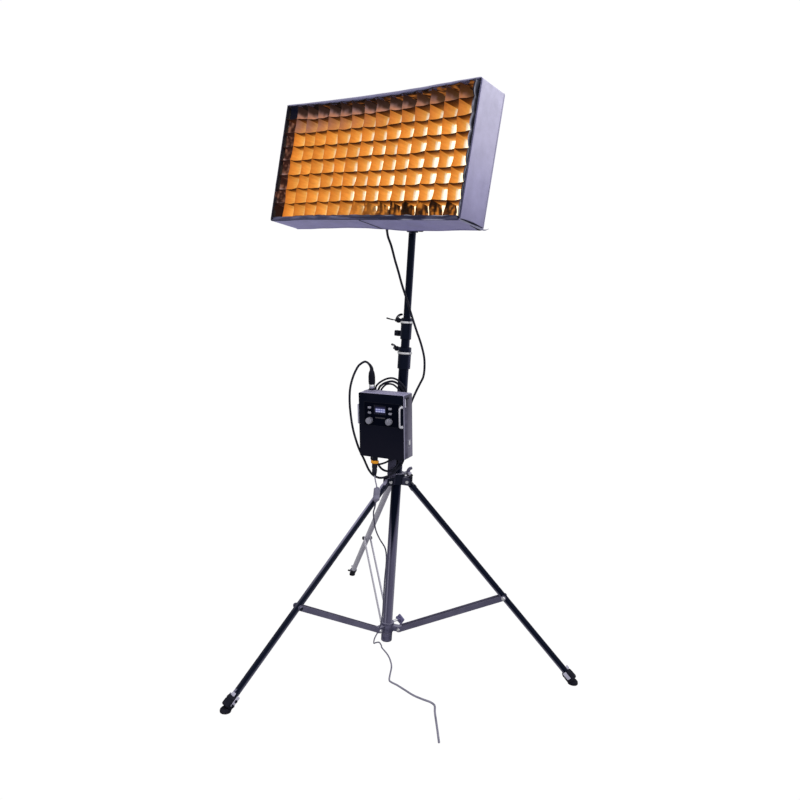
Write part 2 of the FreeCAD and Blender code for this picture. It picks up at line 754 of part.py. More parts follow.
# ------------------------------------------------------------------ control box
# Box frame: origin at the box centre, the controls are on the -y face.
yaw_turn = Rotation(Z_DIR, box_yaw)
box_place = Placement(
    Vector(5.5, -75.5, 742.3),
    yaw_turn.multiply(Rotation(X_DIR, 3.7)).multiply(Rotation(Y_DIR, -3.0)))
box_half = box_depth / 2
box_inside = (box_width - 2 * box_wall, box_height - 2 * box_wall)
window_gap = 0.4  # a window is larger than its part by this, in width and height

# width, height, then the centre: x and z, or y and z for the switch
DISPLAY = (36.6, 24, -2.5, 49)
SWITCH = (13, 19, 4.5, -52)
BUTTONS = [(10, 6, x, z) for x, z in ((-38, 54.5), (-38, 39), (31.5, 55.5), (31.5, 40.5))]
# name, x, z
DIALS = [("dial_left", -37, 15.5), ("dial_right", 29, 17)]


def window(width, height, x, z):
    return block(width + window_gap, height + window_gap, x, z)


def case_rear():
    body = new_body("case_rear")
    full = pad(body, XZ, -box_half, box_half - box_split - 0.1, block(box_width, box_height))
    dress_edges(body, "Fillet", full, along_y, Radius=4)
    pocket(body, XZ, -(box_half - box_wall), box_depth, block(*box_inside), reverse=True)
    pocket(body, YZ, 40, 60, window(*SWITCH), reverse=True)
    body.Placement = box_place


def case_front():
    body = new_body("case_front")
    depth = box_half + box_split
    full = pad(body, XZ, -box_split, depth, block(box_width, box_height))
    dress_edges(body, "Fillet", full, along_y, Radius=4)
    pocket(body, XZ, -box_split - 1, depth + 1 - box_wall, block(*box_inside), reverse=True)
    # openings for the display, the buttons and the dials
    windows = [window(*part) for part in [DISPLAY] + BUTTONS]
    shaft_holes = [disc(3.3, x, z) for _, x, z in DIALS]
    pocket(body, XZ, 10, 40, *windows, *shaft_holes, reverse=True)
    body.Placement = box_place


def display_panel():
    body = new_body("display_panel")
    pad(body, XZ, box_half - 3.6, 2.6, block(*DISPLAY))
    body.Placement = box_place


def button(number, shape):
    body = new_body("button_%d" % number)
    cap = pad(body, XZ, box_half - 5, 7.4, block(*shape))
    dress_edges(body, "Fillet", cap, along_y, Radius=1.8)
    body.Placement = box_place


def dial(name, x, z):
    """Round knob with a chamfered front rim, and its shaft."""
    body = new_body(name)
    knob = pad(body, XZ, box_half + 0.4, 12, disc(9.6, x, z))
    dress_edges(body, "Chamfer", knob, lambda edge: edge_middle(edge).y < -38, Size=1.4)
    pad(body, XZ, box_half - 8, 9, disc(3.2, x, z))
    body.Placement = box_place


def grab_handle():
    """Pull handle on the front: a round bar on two collared posts."""
    x, low, high = 69.5, 3.0, 64.0
    radius, reach, collar = 3.0, 14, 1.5
    front = -box_half - 0.05
    bar_y = front - reach
    shape = Part.makeCylinder(radius, high - low, Vector(x, bar_y, low), Z_DIR)
    for z in (low, high):
        shape = shape.fuse(Part.makeSphere(radius, Vector(x, bar_y, z)))
    for z in (high, low):
        shape = shape.fuse(Part.makeCylinder(radius, reach, Vector(x, bar_y, z), Y_DIR))
        shape = shape.fuse(Part.makeCylinder(5.0, collar, Vector(x, front - collar, z), Y_DIR))
    add_feature("grab_handle", shape.removeSplitter(), box_place)


def power_switch():
    """Rectangular switch in the +x side wall."""
    body = new_body("power_switch")
    pad(body, YZ, box_width / 2 - 5, 6.5, block(*SWITCH))
    body.Placement = box_place


def main_board():
    """Board with two blocks and two cylinders on its rear side."""
    body = new_body("main_board")
    board_back = box_half - 15
    pad(body, XZ, board_back, 1.6, block(128, 170))
    pad(body, XZ, board_back, 20, block(50, 40, 25, -50), block(34, 46, -35, -45),
        disc(9, -25, 55), disc(9, 10, 60), reverse=True)
    body.Placement = box_place


def signal_plug():
    """Round connector with its plug, on top of the box."""
    body = turned_body("signal_plug", [
        (0, 0.05), (8.8, 0.05), (8.8, 6.4), (8.1, 7.2), (8.1, 18.4), (9.9, 19.6),
        (9.9, 54), (7.6, 58.5), (6.2, 72), (0, 72)])
    body.Placement = box_place.multiply(
        Placement(Vector(-54.0, 16.5, box_height / 2), Rotation()))


def box_bracket():
    """Foot plate on the hub, an upright in front of it and a pad behind the box."""
    body = new_body("box_bracket")
    low = hub_high + 0.1
    half, front, back = 14, -38.5, -35.5
    pad(body, XY, low, 3, outline([
        (-half, front), (half, front), (half, -16), (19, -6), (19, 17), (-19, 17),
        (-19, -6), (-half, -16)]))
    pad(body, XY, low, 190, outline([
        (-half, front), (half, front), (half, back), (-half, back)]))
    pocket(body, XY, hub_high - 5, 12, disc(base_outer_r + fit_gap), reverse=True)
    body.Placement = Placement(ORIGIN, yaw_turn)
    pad(body, XY, 724.0, 32, block(26, 5.0, 0, -40.6))


# ------------------------------------------------------------------ loose leads
# Spare cable behind the box: one bight above it and one below.
# x, y, z, before the turn by box_yaw about Z
CABLE_BIGHTS = [
    [(-34, -52, 846), (-22, -46, 872), (4, -43.5, 884), (34, -43.5, 872), (48, -42, 846)],
    [(-58, -70, 634), (-46, -66, 600), (-22, -64, 592), (10, -60, 598), (32, -52, 630)],
]

# Mains lead on the floor, from beside the column out to the front right: x, y
lead_z = 3.2
POWER_LEAD = [
    (-30, 3), (-2, -18), (34, -35), (65, -56), (96, -86), (124, -125),
    (136, -143), (152, -155), (175, -157), (207, -160), (244, -163), (274, -161),
    (300, -158), (320, -165), (339, -187), (361, -212), (386, -240), (430, -290),
]


def cable_coil():
    bights = [sweep([yaw_turn.multVec(Vector(*point)) for point in points], cable_r)
              for points in CABLE_BIGHTS]
    add_feature("cable_coil", Part.makeCompound(bights))


def lead_adapter():
    """Inline adapter hanging in front of the hub."""
    body = turned_body("lead_adapter", [
        (0, 0), (5, 0), (9.5, 3), (9.5, 42), (5, 46), (0, 46)])
    body.Placement = Placement(Vector(15.5, -111.5, 511), Rotation(X_DIR, -4))


# ------------------------------------------------------------------------ build
tube("base_tube", base_outer_r, base_inner_r, base_low, base_high)
base_end_cap()
brace_collar()
tee_lock("brace_lock_knob", 27, 4.6, brace_lock_z)
pivot_pins("brace_pins", bar_inner + bar_wall, 0.6, 0.15, (5.2, 4.0, 1.8),
           brace_pivot_r, brace_pivot_z)
section_collar("lower_section_collar", base_outer_r, mid_outer_r, base_high,
               lower_r, lower_low, lower_high, 50.5, [(5.8, lower_knob_z, 24)])
lower_section_knob()

tripod_hub()
pivot_pins("hub_pins", ear_gap / 2 + ear_wall, 0.5, 0.1, (5.6, 4.6, 2.6),
           hub_pivot_r, hub_pivot_z)
tee_lock("hub_lock_knob", 26, 4.4, hub_lock_z)
for leg_part in (leg_end, leg_tube, foot, brace):
    for leg_index, leg_name in enumerate(LEG_NAMES):
        leg_part(leg_index, leg_name)

tube("middle_tube", mid_outer_r, mid_inner_r, mid_low, mid_high)
section_collar("upper_section_collar", mid_outer_r, top_outer_r, mid_high,
               upper_r, upper_low, upper_high, 51,
               [(6.0, upper_tee_z, 22), (5.0, upper_knob_z, 20)], clear_below=True)
upper_tee_handle()
upper_collar_knob()
tube("top_tube", top_outer_r, top_inner_r, top_low, top_high)
top_stud()
add_feature("panel_cable", sweep([Vector(*point) for point in PANEL_CABLE], cable_r))

for make_part in (pan_receiver, pan_lock_knob, tilt_bolt, tilt_lever,
                  tilt_arm, mount_plate, mount_screws, softbox_shell, fabric_grid,
                  front_diffuser, led_mat, led_chips, support_rods, cable_gland,
                  case_rear, case_front, display_panel):
    make_part()
for button_number, button_shape in enumerate(BUTTONS, 1):
    button(button_number, button_shape)
for dial_entry in DIALS:
    dial(*dial_entry)
for make_part in (grab_handle, power_switch, main_board, signal_plug, box_bracket,
                  cable_coil, lead_adapter):
    make_part()
add_feature("power_lead", sweep([Vector(x, y, lead_z) for x, y in POWER_LEAD], cable_r))

# ------------------------------------------------------------- check and export
doc.recompute()
failed = [item.Name for item in doc.Objects if "Invalid" in item.State or "Error" in item.State]
if failed:
    raise RuntimeError("failed objects: %s" % failed)
os.makedirs("parts", exist_ok=True)
for node in nodes:
    shape = node.Shape
    if shape.isNull() or not shape.isValid():
        raise RuntimeError("bad shape: " + node.Label)
    if not shape.Solids or any(solid.Volume <= 0 for solid in shape.Solids):
        raise RuntimeError("no solid: " + node.Label)
    shape.exportStep("parts/%s.step" % node.Label)
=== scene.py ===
"""A softbox light panel on a three-legged stand, with a control box on the column.

Metres, Z up, floor at z = 0. The column stands on the Z axis and the panel faces -Y, so
left is -X and right is +X. Sizes are in millimetres unless noted, turned to metres by MM.
"""
import bpy
import bmesh
import json
import math
import random
from mathutils import Vector, Matrix
from mathutils.noise import noise

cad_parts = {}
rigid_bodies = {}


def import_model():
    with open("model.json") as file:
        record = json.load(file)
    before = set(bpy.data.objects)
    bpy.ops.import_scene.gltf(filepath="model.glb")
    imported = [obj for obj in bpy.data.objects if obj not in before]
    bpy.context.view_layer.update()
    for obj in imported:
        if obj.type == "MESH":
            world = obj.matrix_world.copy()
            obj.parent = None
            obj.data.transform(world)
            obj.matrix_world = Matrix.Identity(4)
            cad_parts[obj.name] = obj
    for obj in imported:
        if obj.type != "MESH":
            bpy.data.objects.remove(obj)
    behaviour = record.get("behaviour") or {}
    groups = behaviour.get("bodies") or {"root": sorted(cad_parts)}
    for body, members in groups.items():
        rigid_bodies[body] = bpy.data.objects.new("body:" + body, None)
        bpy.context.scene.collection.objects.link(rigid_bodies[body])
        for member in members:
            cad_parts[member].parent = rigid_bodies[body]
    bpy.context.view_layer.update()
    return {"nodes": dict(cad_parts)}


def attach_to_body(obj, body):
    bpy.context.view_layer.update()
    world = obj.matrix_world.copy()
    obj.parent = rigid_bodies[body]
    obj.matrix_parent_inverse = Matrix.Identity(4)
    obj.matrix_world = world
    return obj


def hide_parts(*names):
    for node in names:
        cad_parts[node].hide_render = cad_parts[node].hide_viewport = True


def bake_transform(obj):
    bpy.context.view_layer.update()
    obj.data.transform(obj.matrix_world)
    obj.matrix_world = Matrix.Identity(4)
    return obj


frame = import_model()
CAD_NAMES = {o.name for o in bpy.data.objects}
CAD_NODES = frame["nodes"]
random.seed(7)
MM = 0.001


# ------------------------------------------------------------------ frames
def mm(x, y, z):
    return Vector((x * MM, y * MM, z * MM))


def metres(stations):
    return [Vector(station) * MM for station in stations]


def shift(x, y, z):
    return Matrix.Translation(mm(x, y, z))


def turn(degrees, axis):
    return Matrix.Rotation(math.radians(degrees), 4, axis)


def aim(direction):
    """Turn that points local +Z along the direction."""
    return Vector((0, 0, 1)).rotation_difference(direction).to_matrix().to_4x4()


def along(start, end):
    """Frame at the start point with local +Z towards the end point."""
    start, end = metres((start, end))
    return Matrix.Translation(start) @ aim((end - start).normalized())


def radial(azimuth, distance, z):
    """Frame with local +Z pointing outwards at the azimuth (0 is -Y, 90 is +X)."""
    angle = math.radians(azimuth)
    out = Vector((math.sin(angle), -math.cos(angle), 0))
    spot = Vector((out.x * distance * MM, out.y * distance * MM, z * MM))
    return Matrix.Translation(spot) @ aim(out)


WORLD = Matrix.Identity(4)
PANEL = shift(0, -118.5, 1478) @ turn(-8.5, 'X')
BOX = shift(5.5, -75.5, 742.3) @ turn(12.1, 'Z') @ turn(3.7, 'X') @ turn(-3.0, 'Y')
LEGS = ("front", "right", "rear")
FIRST_LEG = -6.2            # degrees about Z; the others follow every 120

# softbox body: half width, half height and depth; front edge at y = -DEPTH in PANEL
HALF_W, HALF_H, DEPTH = 345.0, 172.5, 106.0
# glossy field on the control box face, in the box's own x and z
GLOSS_X, GLOSS_Z = (-56.5, 61.5), (0.5, 70.5)
# horizontal directions across and towards the camera, and one close to straight up
VIEW_RIGHT, TO_VIEW, NEAR_UP = (0.778, 0.628, 0.0), (0.628, -0.778, 0.0), (0.10, -0.12, 0.985)


# --------------------------------------------------------- material builder
def srgb(red, green, blue):
    def linear(value):
        value = value / 255.0
        return value / 12.92 if value <= 0.04045 else ((value + 0.055) / 1.055) ** 2.4
    return (linear(red), linear(green), linear(blue), 1.0)


class Nodes:
    """Adds nodes to an emptied tree; a number, colour or socket may feed any input."""

    def __init__(self, tree):
        self.tree = tree
        tree.nodes.clear()

    def node(self, kind, **settings):
        made = self.tree.nodes.new("ShaderNode" + kind)
        for key, value in settings.items():
            setattr(made, key, value)
        return made

    def feed(self, socket, value):
        if isinstance(value, bpy.types.NodeSocket):
            self.tree.links.new(value, socket)
        else:
            socket.default_value = value

    def dot(self, vector, direction):
        made = self.node("VectorMath", operation="DOT_PRODUCT")
        self.feed(made.inputs[0], vector)
        made.inputs[1].default_value = direction
        return made.outputs["Value"]

    def remap(self, value, span, to=(0.0, 1.0)):
        """Carries span onto to, held at both ends."""
        made = self.node("MapRange", clamp=True)
        for socket, number in zip(made.inputs[1:5], (*span, *to)):
            socket.default_value = number
        self.feed(made.inputs[0], value)
        return made.outputs[0]


class Shader(Nodes):
    """A Principled material."""

    def __init__(self, name):
        self.material = bpy.data.materials.new(name)
        self.material.use_nodes = True
        super().__init__(self.material.node_tree)
        output = self.node("OutputMaterial")
        self.principled = self.node("BsdfPrincipled")
        self.feed(output.inputs[0], self.principled.outputs[0])
        self.coordinates = None

    def coord(self):
        if self.coordinates is None:
            self.coordinates = self.node("TexCoord")
        return self.coordinates.outputs["Object"]

    def split(self):
        made = self.node("SeparateXYZ")
        self.feed(made.inputs[0], self.coord())
        return made.outputs

    def noise(self, scale, detail, rough=0.55, stretch=None):
        made = self.node("TexNoise")
        made.inputs["Scale"].default_value = scale
        made.inputs["Detail"].default_value = detail
        made.inputs["Roughness"].default_value = rough
        source = self.coord()
        if stretch:
            mapping = self.node("Mapping")
            mapping.inputs["Scale"].default_value = stretch
            self.feed(mapping.inputs[0], source)
            source = mapping.outputs[0]
        self.feed(made.inputs["Vector"], source)
        return made.outputs["Fac"]

    def math(self, operation, *values, clamp=False):
        made = self.node("Math", operation=operation, use_clamp=clamp)
        for socket, value in zip(made.inputs, values):
            self.feed(socket, value)
        return made.outputs[0]

    def mul(self, first, second):
        return self.math("MULTIPLY", first, second)

    def scaled(self, value, by, plus, clamp=False):
        return self.math("MULTIPLY_ADD", value, by, plus, clamp=clamp)

    def mix(self, factor, first, second, kind="MIX"):
        made = self.node("Mix", data_type="RGBA", blend_type=kind)
        for index, value in ((0, factor), (6, first), (7, second)):
            self.feed(made.inputs[index], value)
        return made.outputs[2]

    def shaded(self, colour, value):
        """The colour multiplied by a grey value."""
        grey = self.node("CombineColor")
        for index in range(3):
            self.feed(grey.inputs[index], value)
        return self.mix(1.0, colour, grey.outputs[0], "MULTIPLY")

    def mottle(self, first, second, scale, detail, span=(0.35, 0.7), **noise_settings):
        """Two colours in noise patches."""
        patches = self.noise(scale, detail, **noise_settings)
        return self.mix(self.remap(patches, span), first, second)

    def patchy(self, value, scale, detail, span=(0.3, 0.7), spread=(0.85, 1.15)):
        """A value that wanders between its two multiples in spread."""
        return self.remap(self.noise(scale, detail), span,
                          to=(value * spread[0], value * spread[1]))

    def window(self, value, span, soft=0.0006):
        """1 inside the span, 0 outside."""
        low, high = span
        return self.mul(self.remap(value, (low - soft, low + soft)),
                        self.remap(value, (high - soft, high + soft), to=(1.0, 0.0)))

    def facing(self, direction):
        """How far the surface faces the direction, -1 to 1."""
        return self.dot(self.node("NewGeometry").outputs["Normal"], direction)

    def bump(self, height, strength, depth):
        made = self.node("Bump")
        made.inputs["Strength"].default_value = strength
        made.inputs["Distance"].default_value = depth
        self.feed(made.inputs["Height"], height)
        self.feed(self.principled.inputs["Normal"], made.outputs[0])

    def set(self, **inputs):
        for key, value in inputs.items():
            self.feed(self.principled.inputs[key.replace("_", " ")], value)


# ---------------------------------------------------------- material kinds
def paint(name, first, second, roughness=0.22, grain=900, relief=0.05, wear=None, specular=0.12,
          tone=None, patch_scale=14, patch_top=0.7):
    """Sprayed or powdered paint: fine orange peel, patchy tone, dust in the roughness."""
    mat = Shader(name)
    colour = mat.mottle(first, second, scale=patch_scale, detail=4, span=(0.35, patch_top))
    if wear:
        spots = mat.remap(mat.noise(scale=120, detail=6, rough=0.7), (0.70, 0.78))
        colour = mat.mix(mat.mul(spots, 0.5), colour, wear)
    # tone paints light and shade into the colour
    if tone:
        colour = tone(mat, colour)
    dust = mat.patchy(roughness, scale=60, detail=5, span=(0.3, 0.75), spread=(0.8, 1.35))
    mat.set(Base_Color=colour, Metallic=0.0, IOR=1.5, Roughness=dust,
            Specular_IOR_Level=specular, Specular_Tint=(0.50, 0.62, 1.0, 1))
    mat.bump(mat.noise(scale=grain, detail=3), strength=relief, depth=0.0003)
    return mat.material


def metal(name, colour, roughness, stretch=(1, 1, 60), relief=0.04):
    """Metal with fine drawn streaks."""
    mat = Shader(name)
    streaks = mat.noise(scale=160, detail=4, rough=0.6, stretch=stretch)
    dark = tuple(x * 0.82 for x in colour[:3]) + (1,)
    mat.set(Base_Color=mat.mix(mat.remap(streaks, (0.3, 0.7)), dark, colour), Metallic=1.0,
            Roughness=mat.remap(streaks, (0.3, 0.7), to=(roughness * 0.75, roughness * 1.4)))
    mat.bump(streaks, strength=relief, depth=0.0002)
    return mat.material


def plastic(name, first, second, roughness):
    mat = Shader(name)
    mat.set(Specular_IOR_Level=0.12, Specular_Tint=(0.55, 0.66, 1.0, 1),
            Base_Color=mat.mottle(first, second, scale=30, detail=4),
            Roughness=mat.patchy(roughness, scale=90, detail=4, spread=(0.85, 1.2)))
    mat.bump(mat.noise(scale=1400, detail=2), strength=0.12, depth=0.0002)
    return mat.material


def rubber(name, first, second, roughness=0.62):
    mat = Shader(name)
    mat.set(Specular_IOR_Level=0.1, Specular_Tint=(0.6, 0.68, 1.0, 1),
            Base_Color=mat.mottle(first, second, scale=45, detail=5),
            Roughness=mat.patchy(roughness, scale=70, detail=5))
    mat.bump(mat.noise(scale=700, detail=4), strength=0.2, depth=0.0003)
    return mat.material


def weave(mat, scale):
    """Plain weave height: crossed sets of threads, about -1.2 to 1.2."""
    x, y, z = mat.split()
    first = mat.math("SINE", mat.mul(x, scale))
    second = mat.math("SINE", mat.mul(z, scale))
    third = mat.math("SINE", mat.mul(y, scale))
    crossed = mat.mul(third, mat.math("ADD", first, second))
    return mat.math("ADD", mat.mul(first, second), crossed)


THREADS = (-1.2, 1.2)


def cloth_surface(mat, threads, crease, roughness, sheen):
    """Roughness, sheen and relief that the cloths share; crease weighs the soft folds."""
    mat.set(Roughness=mat.patchy(roughness, scale=40, detail=4), Sheen_Weight=sheen)
    folds = mat.mul(mat.noise(scale=26, detail=5, rough=0.6), crease)
    height = mat.math("ADD", mat.mul(threads, 0.25), folds)
    mat.bump(height, strength=0.28, depth=0.0006)


def nylon(name, first, second, roughness=0.5, sheen=0.3, scale=4200.0):
    mat = Shader(name)
    threads = weave(mat, scale)
    colour = mat.mottle(first, second, scale=9, detail=4, rough=0.6, span=(0.35, 0.68))
    mat.set(Base_Color=mat.shaded(colour, mat.remap(threads, THREADS, to=(0.90, 1.06))),
            Sheen_Tint=(0.75, 0.73, 0.95, 1))
    cloth_surface(mat, threads, 1.6, roughness, sheen)
    return mat.material


def tinted(name, roughness=0.5, sheen=0.1, specular=0.12):
    """Cloth whose tone comes from the mesh's own 'tint' colours, which carry painted light and
    shade as well as the cloth's own colour.
    """
    mat = Shader(name)
    tint = mat.node("Attribute", attribute_name="tint")
    threads = weave(mat, 4200.0)
    blotches = mat.noise(scale=22, detail=5, rough=0.6)
    value = mat.mul(mat.remap(threads, THREADS, to=(0.90, 1.07)),
                    mat.remap(blotches, (0.3, 0.7), to=(0.90, 1.10)))
    mat.set(Base_Color=mat.shaded(tint.outputs[0], value), Specular_IOR_Level=specular)
    cloth_surface(mat, threads, 1.4, roughness, sheen)
    return mat.material


def glow(name, colour, strength, thread_shade=0.0):
    mat = Shader(name)
    threads = mat.remap(weave(mat, 3000.0), THREADS, to=(1.0 - thread_shade, 1.0))
    blotches = mat.remap(mat.noise(scale=11, detail=2), (0.3, 0.7), to=(0.96, 1.04))
    mat.set(Base_Color=(0.8, 0.75, 0.65, 1), Roughness=0.7, Emission_Color=colour,
            Emission_Strength=mat.mul(mat.mul(threads, blotches), strength))
    return mat.material


# ------------------------------------------------------------- paint tones
def column_tone(mat, base):
    """Black above; painted reflection of the pale floor near the ground, where the dark core
    narrows on the way down, with a painted highlight stripe and lighter painted edges.
    """
    across = mat.facing(VIEW_RIGHT)
    z = mat.split()[2]
    # Lower down, painted reflection of the pale floor covers all but a narrowing dark core.
    core = mat.remap(z, (0.30, 0.56), to=(-0.1, 1.25))
    off_core = mat.math("SUBTRACT", mat.math("ABSOLUTE", mat.math("ADD", across, 0.12)), core)
    floor_reflection_share = mat.scaled(off_core, by=2.2, plus=0.45, clamp=True)
    floor_reflection = mat.mottle(srgb(84, 81, 104), srgb(100, 97, 120), scale=30, detail=4,
                       span=(0.3, 0.7), stretch=(1, 1, 0.12))
    floor_reflection = mat.mix(mat.remap(across, (0.55, 0.95)), floor_reflection, srgb(132, 130, 148))
    # painted highlight stripe left of the core
    highlight_stripe = mat.mul(mat.remap(across, (-0.62, -0.5)),
                     mat.remap(across, (-0.44, -0.30), to=(1.0, 0.0)))
    floor_reflection = mat.mix(highlight_stripe, floor_reflection, srgb(140, 137, 158))
    colour = mat.mix(floor_reflection_share, base, floor_reflection)
    # painted highlights along the right and left edges, higher up
    right = mat.mul(mat.remap(across, (0.50, 0.98)), mat.remap(z, (0.3, 0.6)))
    colour = mat.mix(right, colour, srgb(64, 66, 90))
    left = mat.mul(mat.remap(across, (-0.80, -0.97)), mat.remap(z, (0.3, 0.6)))
    return mat.mix(left, colour, srgb(40, 42, 66))


# Painted highlights on the front leg: a pale band on its left side up high, a grey band on its
# right side lower down.
def front_leg_tone(mat, base):
    across = mat.facing(VIEW_RIGHT)
    z = mat.split()[2]
    left = mat.mul(mat.remap(across, (-0.10, -0.42)), mat.remap(z, (0.22, 0.46), to=(0.05, 1.0)))
    colour = mat.mix(left, base, srgb(158, 155, 182))
    right = mat.mul(mat.remap(across, (0.45, 0.85)), mat.remap(z, (0.16, 0.34), to=(1.0, 0.35)))
    return mat.mix(right, colour, srgb(96, 96, 116))


# Painted highlights on the right leg: pale on its left side, grey on its right side.
def right_leg_tone(mat, base):
    across = mat.facing(VIEW_RIGHT)
    left = mat.mul(mat.remap(across, (-0.30, -0.62)), 0.9)
    colour = mat.mix(left, base, srgb(118, 116, 138))
    right = mat.mul(mat.remap(across, (0.60, 0.95)), 0.6)
    return mat.mix(right, colour, srgb(84, 82, 108))


# Painted light: the rear leg is painted pale on the faces towards the view.
def rear_leg_tone(mat, base):
    across = mat.facing(VIEW_RIGHT)
    light = mat.mix(mat.remap(across, (-0.6, 0.7)), srgb(186, 184, 196), srgb(160, 157, 174))
    return mat.mix(mat.remap(mat.facing(TO_VIEW), (-0.35, 0.05)), base, light)


def casting_tone(mat, base):
    """Satin casting with painted light: the faces that look up catch it, and the faces to the
    left catch less, both in patches.
    """
    upward = mat.facing(NEAR_UP)
    across = mat.facing(VIEW_RIGHT)
    highlight_patches = mat.remap(mat.noise(scale=55, detail=4), (0.35, 0.65), to=(0.25, 1.0))
    colour = mat.mix(mat.mul(mat.remap(upward, (0.35, 0.9)), highlight_patches), base, srgb(150, 148, 172))
    left = mat.mul(mat.remap(across, (-0.12, -0.62)), mat.scaled(highlight_patches, by=0.4, plus=0.5))
    return mat.mix(left, colour, srgb(108, 105, 130))


# Painted light on a black casting: paler where the faces look up, with painted shade on the
# faces to the right.
def casting_light_and_shade(mat, base):
    upward = mat.facing(NEAR_UP)
    across = mat.facing(VIEW_RIGHT)
    colour = mat.mix(mat.remap(upward, (0.3, 0.9)), base, srgb(132, 130, 150))
    return mat.mix(mat.mul(mat.remap(across, (0.2, 0.7)), 0.5), colour, srgb(38, 37, 54))


# Painted light: the rear brace is painted pale on all but the faces turned away from the view.
def bright_brace_tone(mat, base):
    return mat.mix(mat.remap(mat.facing(TO_VIEW), (-0.60, -0.30)), base, srgb(202, 200, 212))


# -------------------------------------------------- materials of one piece
def box_axes(mat, axes):
    """The control box's own coordinates, in metres, for the named axes."""
    offset = mat.node("VectorMath", operation="SUBTRACT")
    mat.feed(offset.inputs[0], mat.coord())
    offset.inputs[1].default_value = tuple(BOX.translation)
    return [mat.dot(offset.outputs[0], tuple(BOX.col["xyz".index(axis)].to_3d()))
            for axis in axes]


def case_front_material():
    """Black powder coat with a glossy field on the face; the folded edges are bare grey, with a
    painted highlight along the front fold and painted light on the faces that look up.
    """
    mat = Shader("case_front_two_tone")
    x, y, z = box_axes(mat, "xyz")
    face = mat.remap(y, (-0.0274, -0.0270), to=(1.0, 0.0))
    field = mat.mul(mat.window(x, [edge * MM for edge in GLOSS_X]),
                    mat.window(z, [edge * MM for edge in GLOSS_Z]))
    gloss = mat.mul(face, field)
    patches = mat.remap(mat.noise(scale=18, detail=5), (0.3, 0.7))
    black = mat.mix(mat.remap(z, (0.075, -0.085)),
                    (0.0024, 0.0038, 0.0105, 1), (0.0085, 0.0085, 0.0165, 1))
    black = mat.mix(mat.mul(patches, 0.25), black, (0.012, 0.011, 0.019, 1))
    black = mat.mix(gloss, black, (0.0010, 0.0016, 0.0058, 1))
    grey = mat.mottle(srgb(66, 64, 82), srgb(96, 93, 112), scale=26, detail=4, rough=0.6,
                      span=(0.3, 0.7), stretch=(0.5, 0.5, 1.6))
    # painted highlight along the front fold
    front_edge_highlight = mat.window(y, (-0.0300, -0.0225), soft=0.0010)
    grey = mat.mix(front_edge_highlight, grey, srgb(146, 144, 168))
    # painted light on the faces that look up
    upward = mat.remap(mat.facing((0, 0, 1)), (0.6, 0.9))
    grey = mat.mix(upward, grey, srgb(158, 155, 184))
    mat.set(Base_Color=mat.mix(face, grey, black),
            Roughness=mat.mix(gloss, (0.42, 0.42, 0.42, 1), (0.14, 0.14, 0.14, 1)),
            Specular_IOR_Level=0.05, Specular_Tint=(0.5, 0.62, 1.0, 1))
    mat.bump(mat.noise(scale=2600, detail=3), strength=0.18, depth=0.0003)
    return mat.material


def case_side_material():
    """Brushed grey sheet in painted shade that darkens it toward the front, broken by long
    slanting streaks; the faces that look up carry painted light.
    """
    mat = Shader("case_side_brushed")
    y, z = box_axes(mat, "yz")
    # painted shade, darker toward the front
    slant = mat.math("ADD", y, mat.mul(z, -0.16))
    fade = mat.remap(slant, (-0.012, 0.026))
    streaks = mat.remap(mat.noise(scale=30, detail=5, rough=0.62, stretch=(1.6, 1.6, 0.25)),
                        (0.3, 0.7))
    fade = mat.math("ADD", mat.mul(fade, 0.75), mat.mul(streaks, 0.3), clamp=True)
    upward = mat.remap(mat.facing((0, 0, 1)), (0.6, 0.9))
    grey = mat.mix(fade, srgb(60, 58, 74), srgb(120, 117, 136))
    mat.set(Base_Color=mat.mix(upward, grey, srgb(158, 155, 184)),
            Roughness=mat.remap(streaks, (0.0, 1.0), to=(0.30, 0.5)), Specular_IOR_Level=0.15)
    brushing = mat.noise(scale=240, detail=4, rough=0.6, stretch=(1, 1, 0.2))
    mat.bump(brushing, strength=0.12, depth=0.0003)
    return mat.material


def grid_material():
    """Coated cloth lit from behind, its light painted in as emission: the mesh's 'lit' colours,
    with streaks and weave.
    """
    mat = Shader("grid_cloth_lit")
    lit = mat.node("Attribute", attribute_name="lit")
    streaks = mat.remap(mat.noise(scale=85, detail=5, rough=0.65, stretch=(1.0, 0.4, 2.0)),
                        (0.28, 0.72), to=(0.84, 1.15))
    threads = mat.remap(weave(mat, 4200.0), THREADS, to=(0.94, 1.04))
    mat.set(Base_Color=(0.0035, 0.002, 0.0016, 1), Roughness=0.7, Specular_IOR_Level=0.08,
            Emission_Color=lit.outputs[0], Emission_Strength=mat.mul(streaks, threads))
    height = mat.math("ADD", mat.mul(weave(mat, 4200.0), 0.2), mat.noise(scale=60, detail=4))
    mat.bump(height, strength=0.35, depth=0.0008)
    return mat.material


def screen_material():
    """A lit read-out with plain bars, no letters."""
    mat = Shader("display_lit")
    x, z = box_axes(mat, "xz")
    lit = mat.mul(mat.window(x, (-0.0185, 0.0130), soft=0.0016),
                  mat.window(z, (0.0405, 0.0570), soft=0.0016))
    rows = mat.remap(mat.math("SINE", mat.mul(z, 900.0)), (-0.35, 0.2))
    columns = mat.remap(mat.math("SINE", mat.mul(x, 760.0)), (-0.6, 0.1), to=(0.35, 1.0))
    bars = mat.mul(rows, columns)
    band = mat.window(z, (0.0420, 0.0520), soft=0.0016)
    colour = mat.mix(band, srgb(34, 34, 66), srgb(96, 98, 152))
    colour = mat.mix(mat.mul(bars, band), colour, srgb(186, 190, 226))
    mat.set(Base_Color=(0.006, 0.006, 0.02, 1), Roughness=0.12, Specular_IOR_Level=0.2,
            Emission_Color=colour, Emission_Strength=mat.scaled(lit, by=0.95, plus=0.05))
    return mat.material


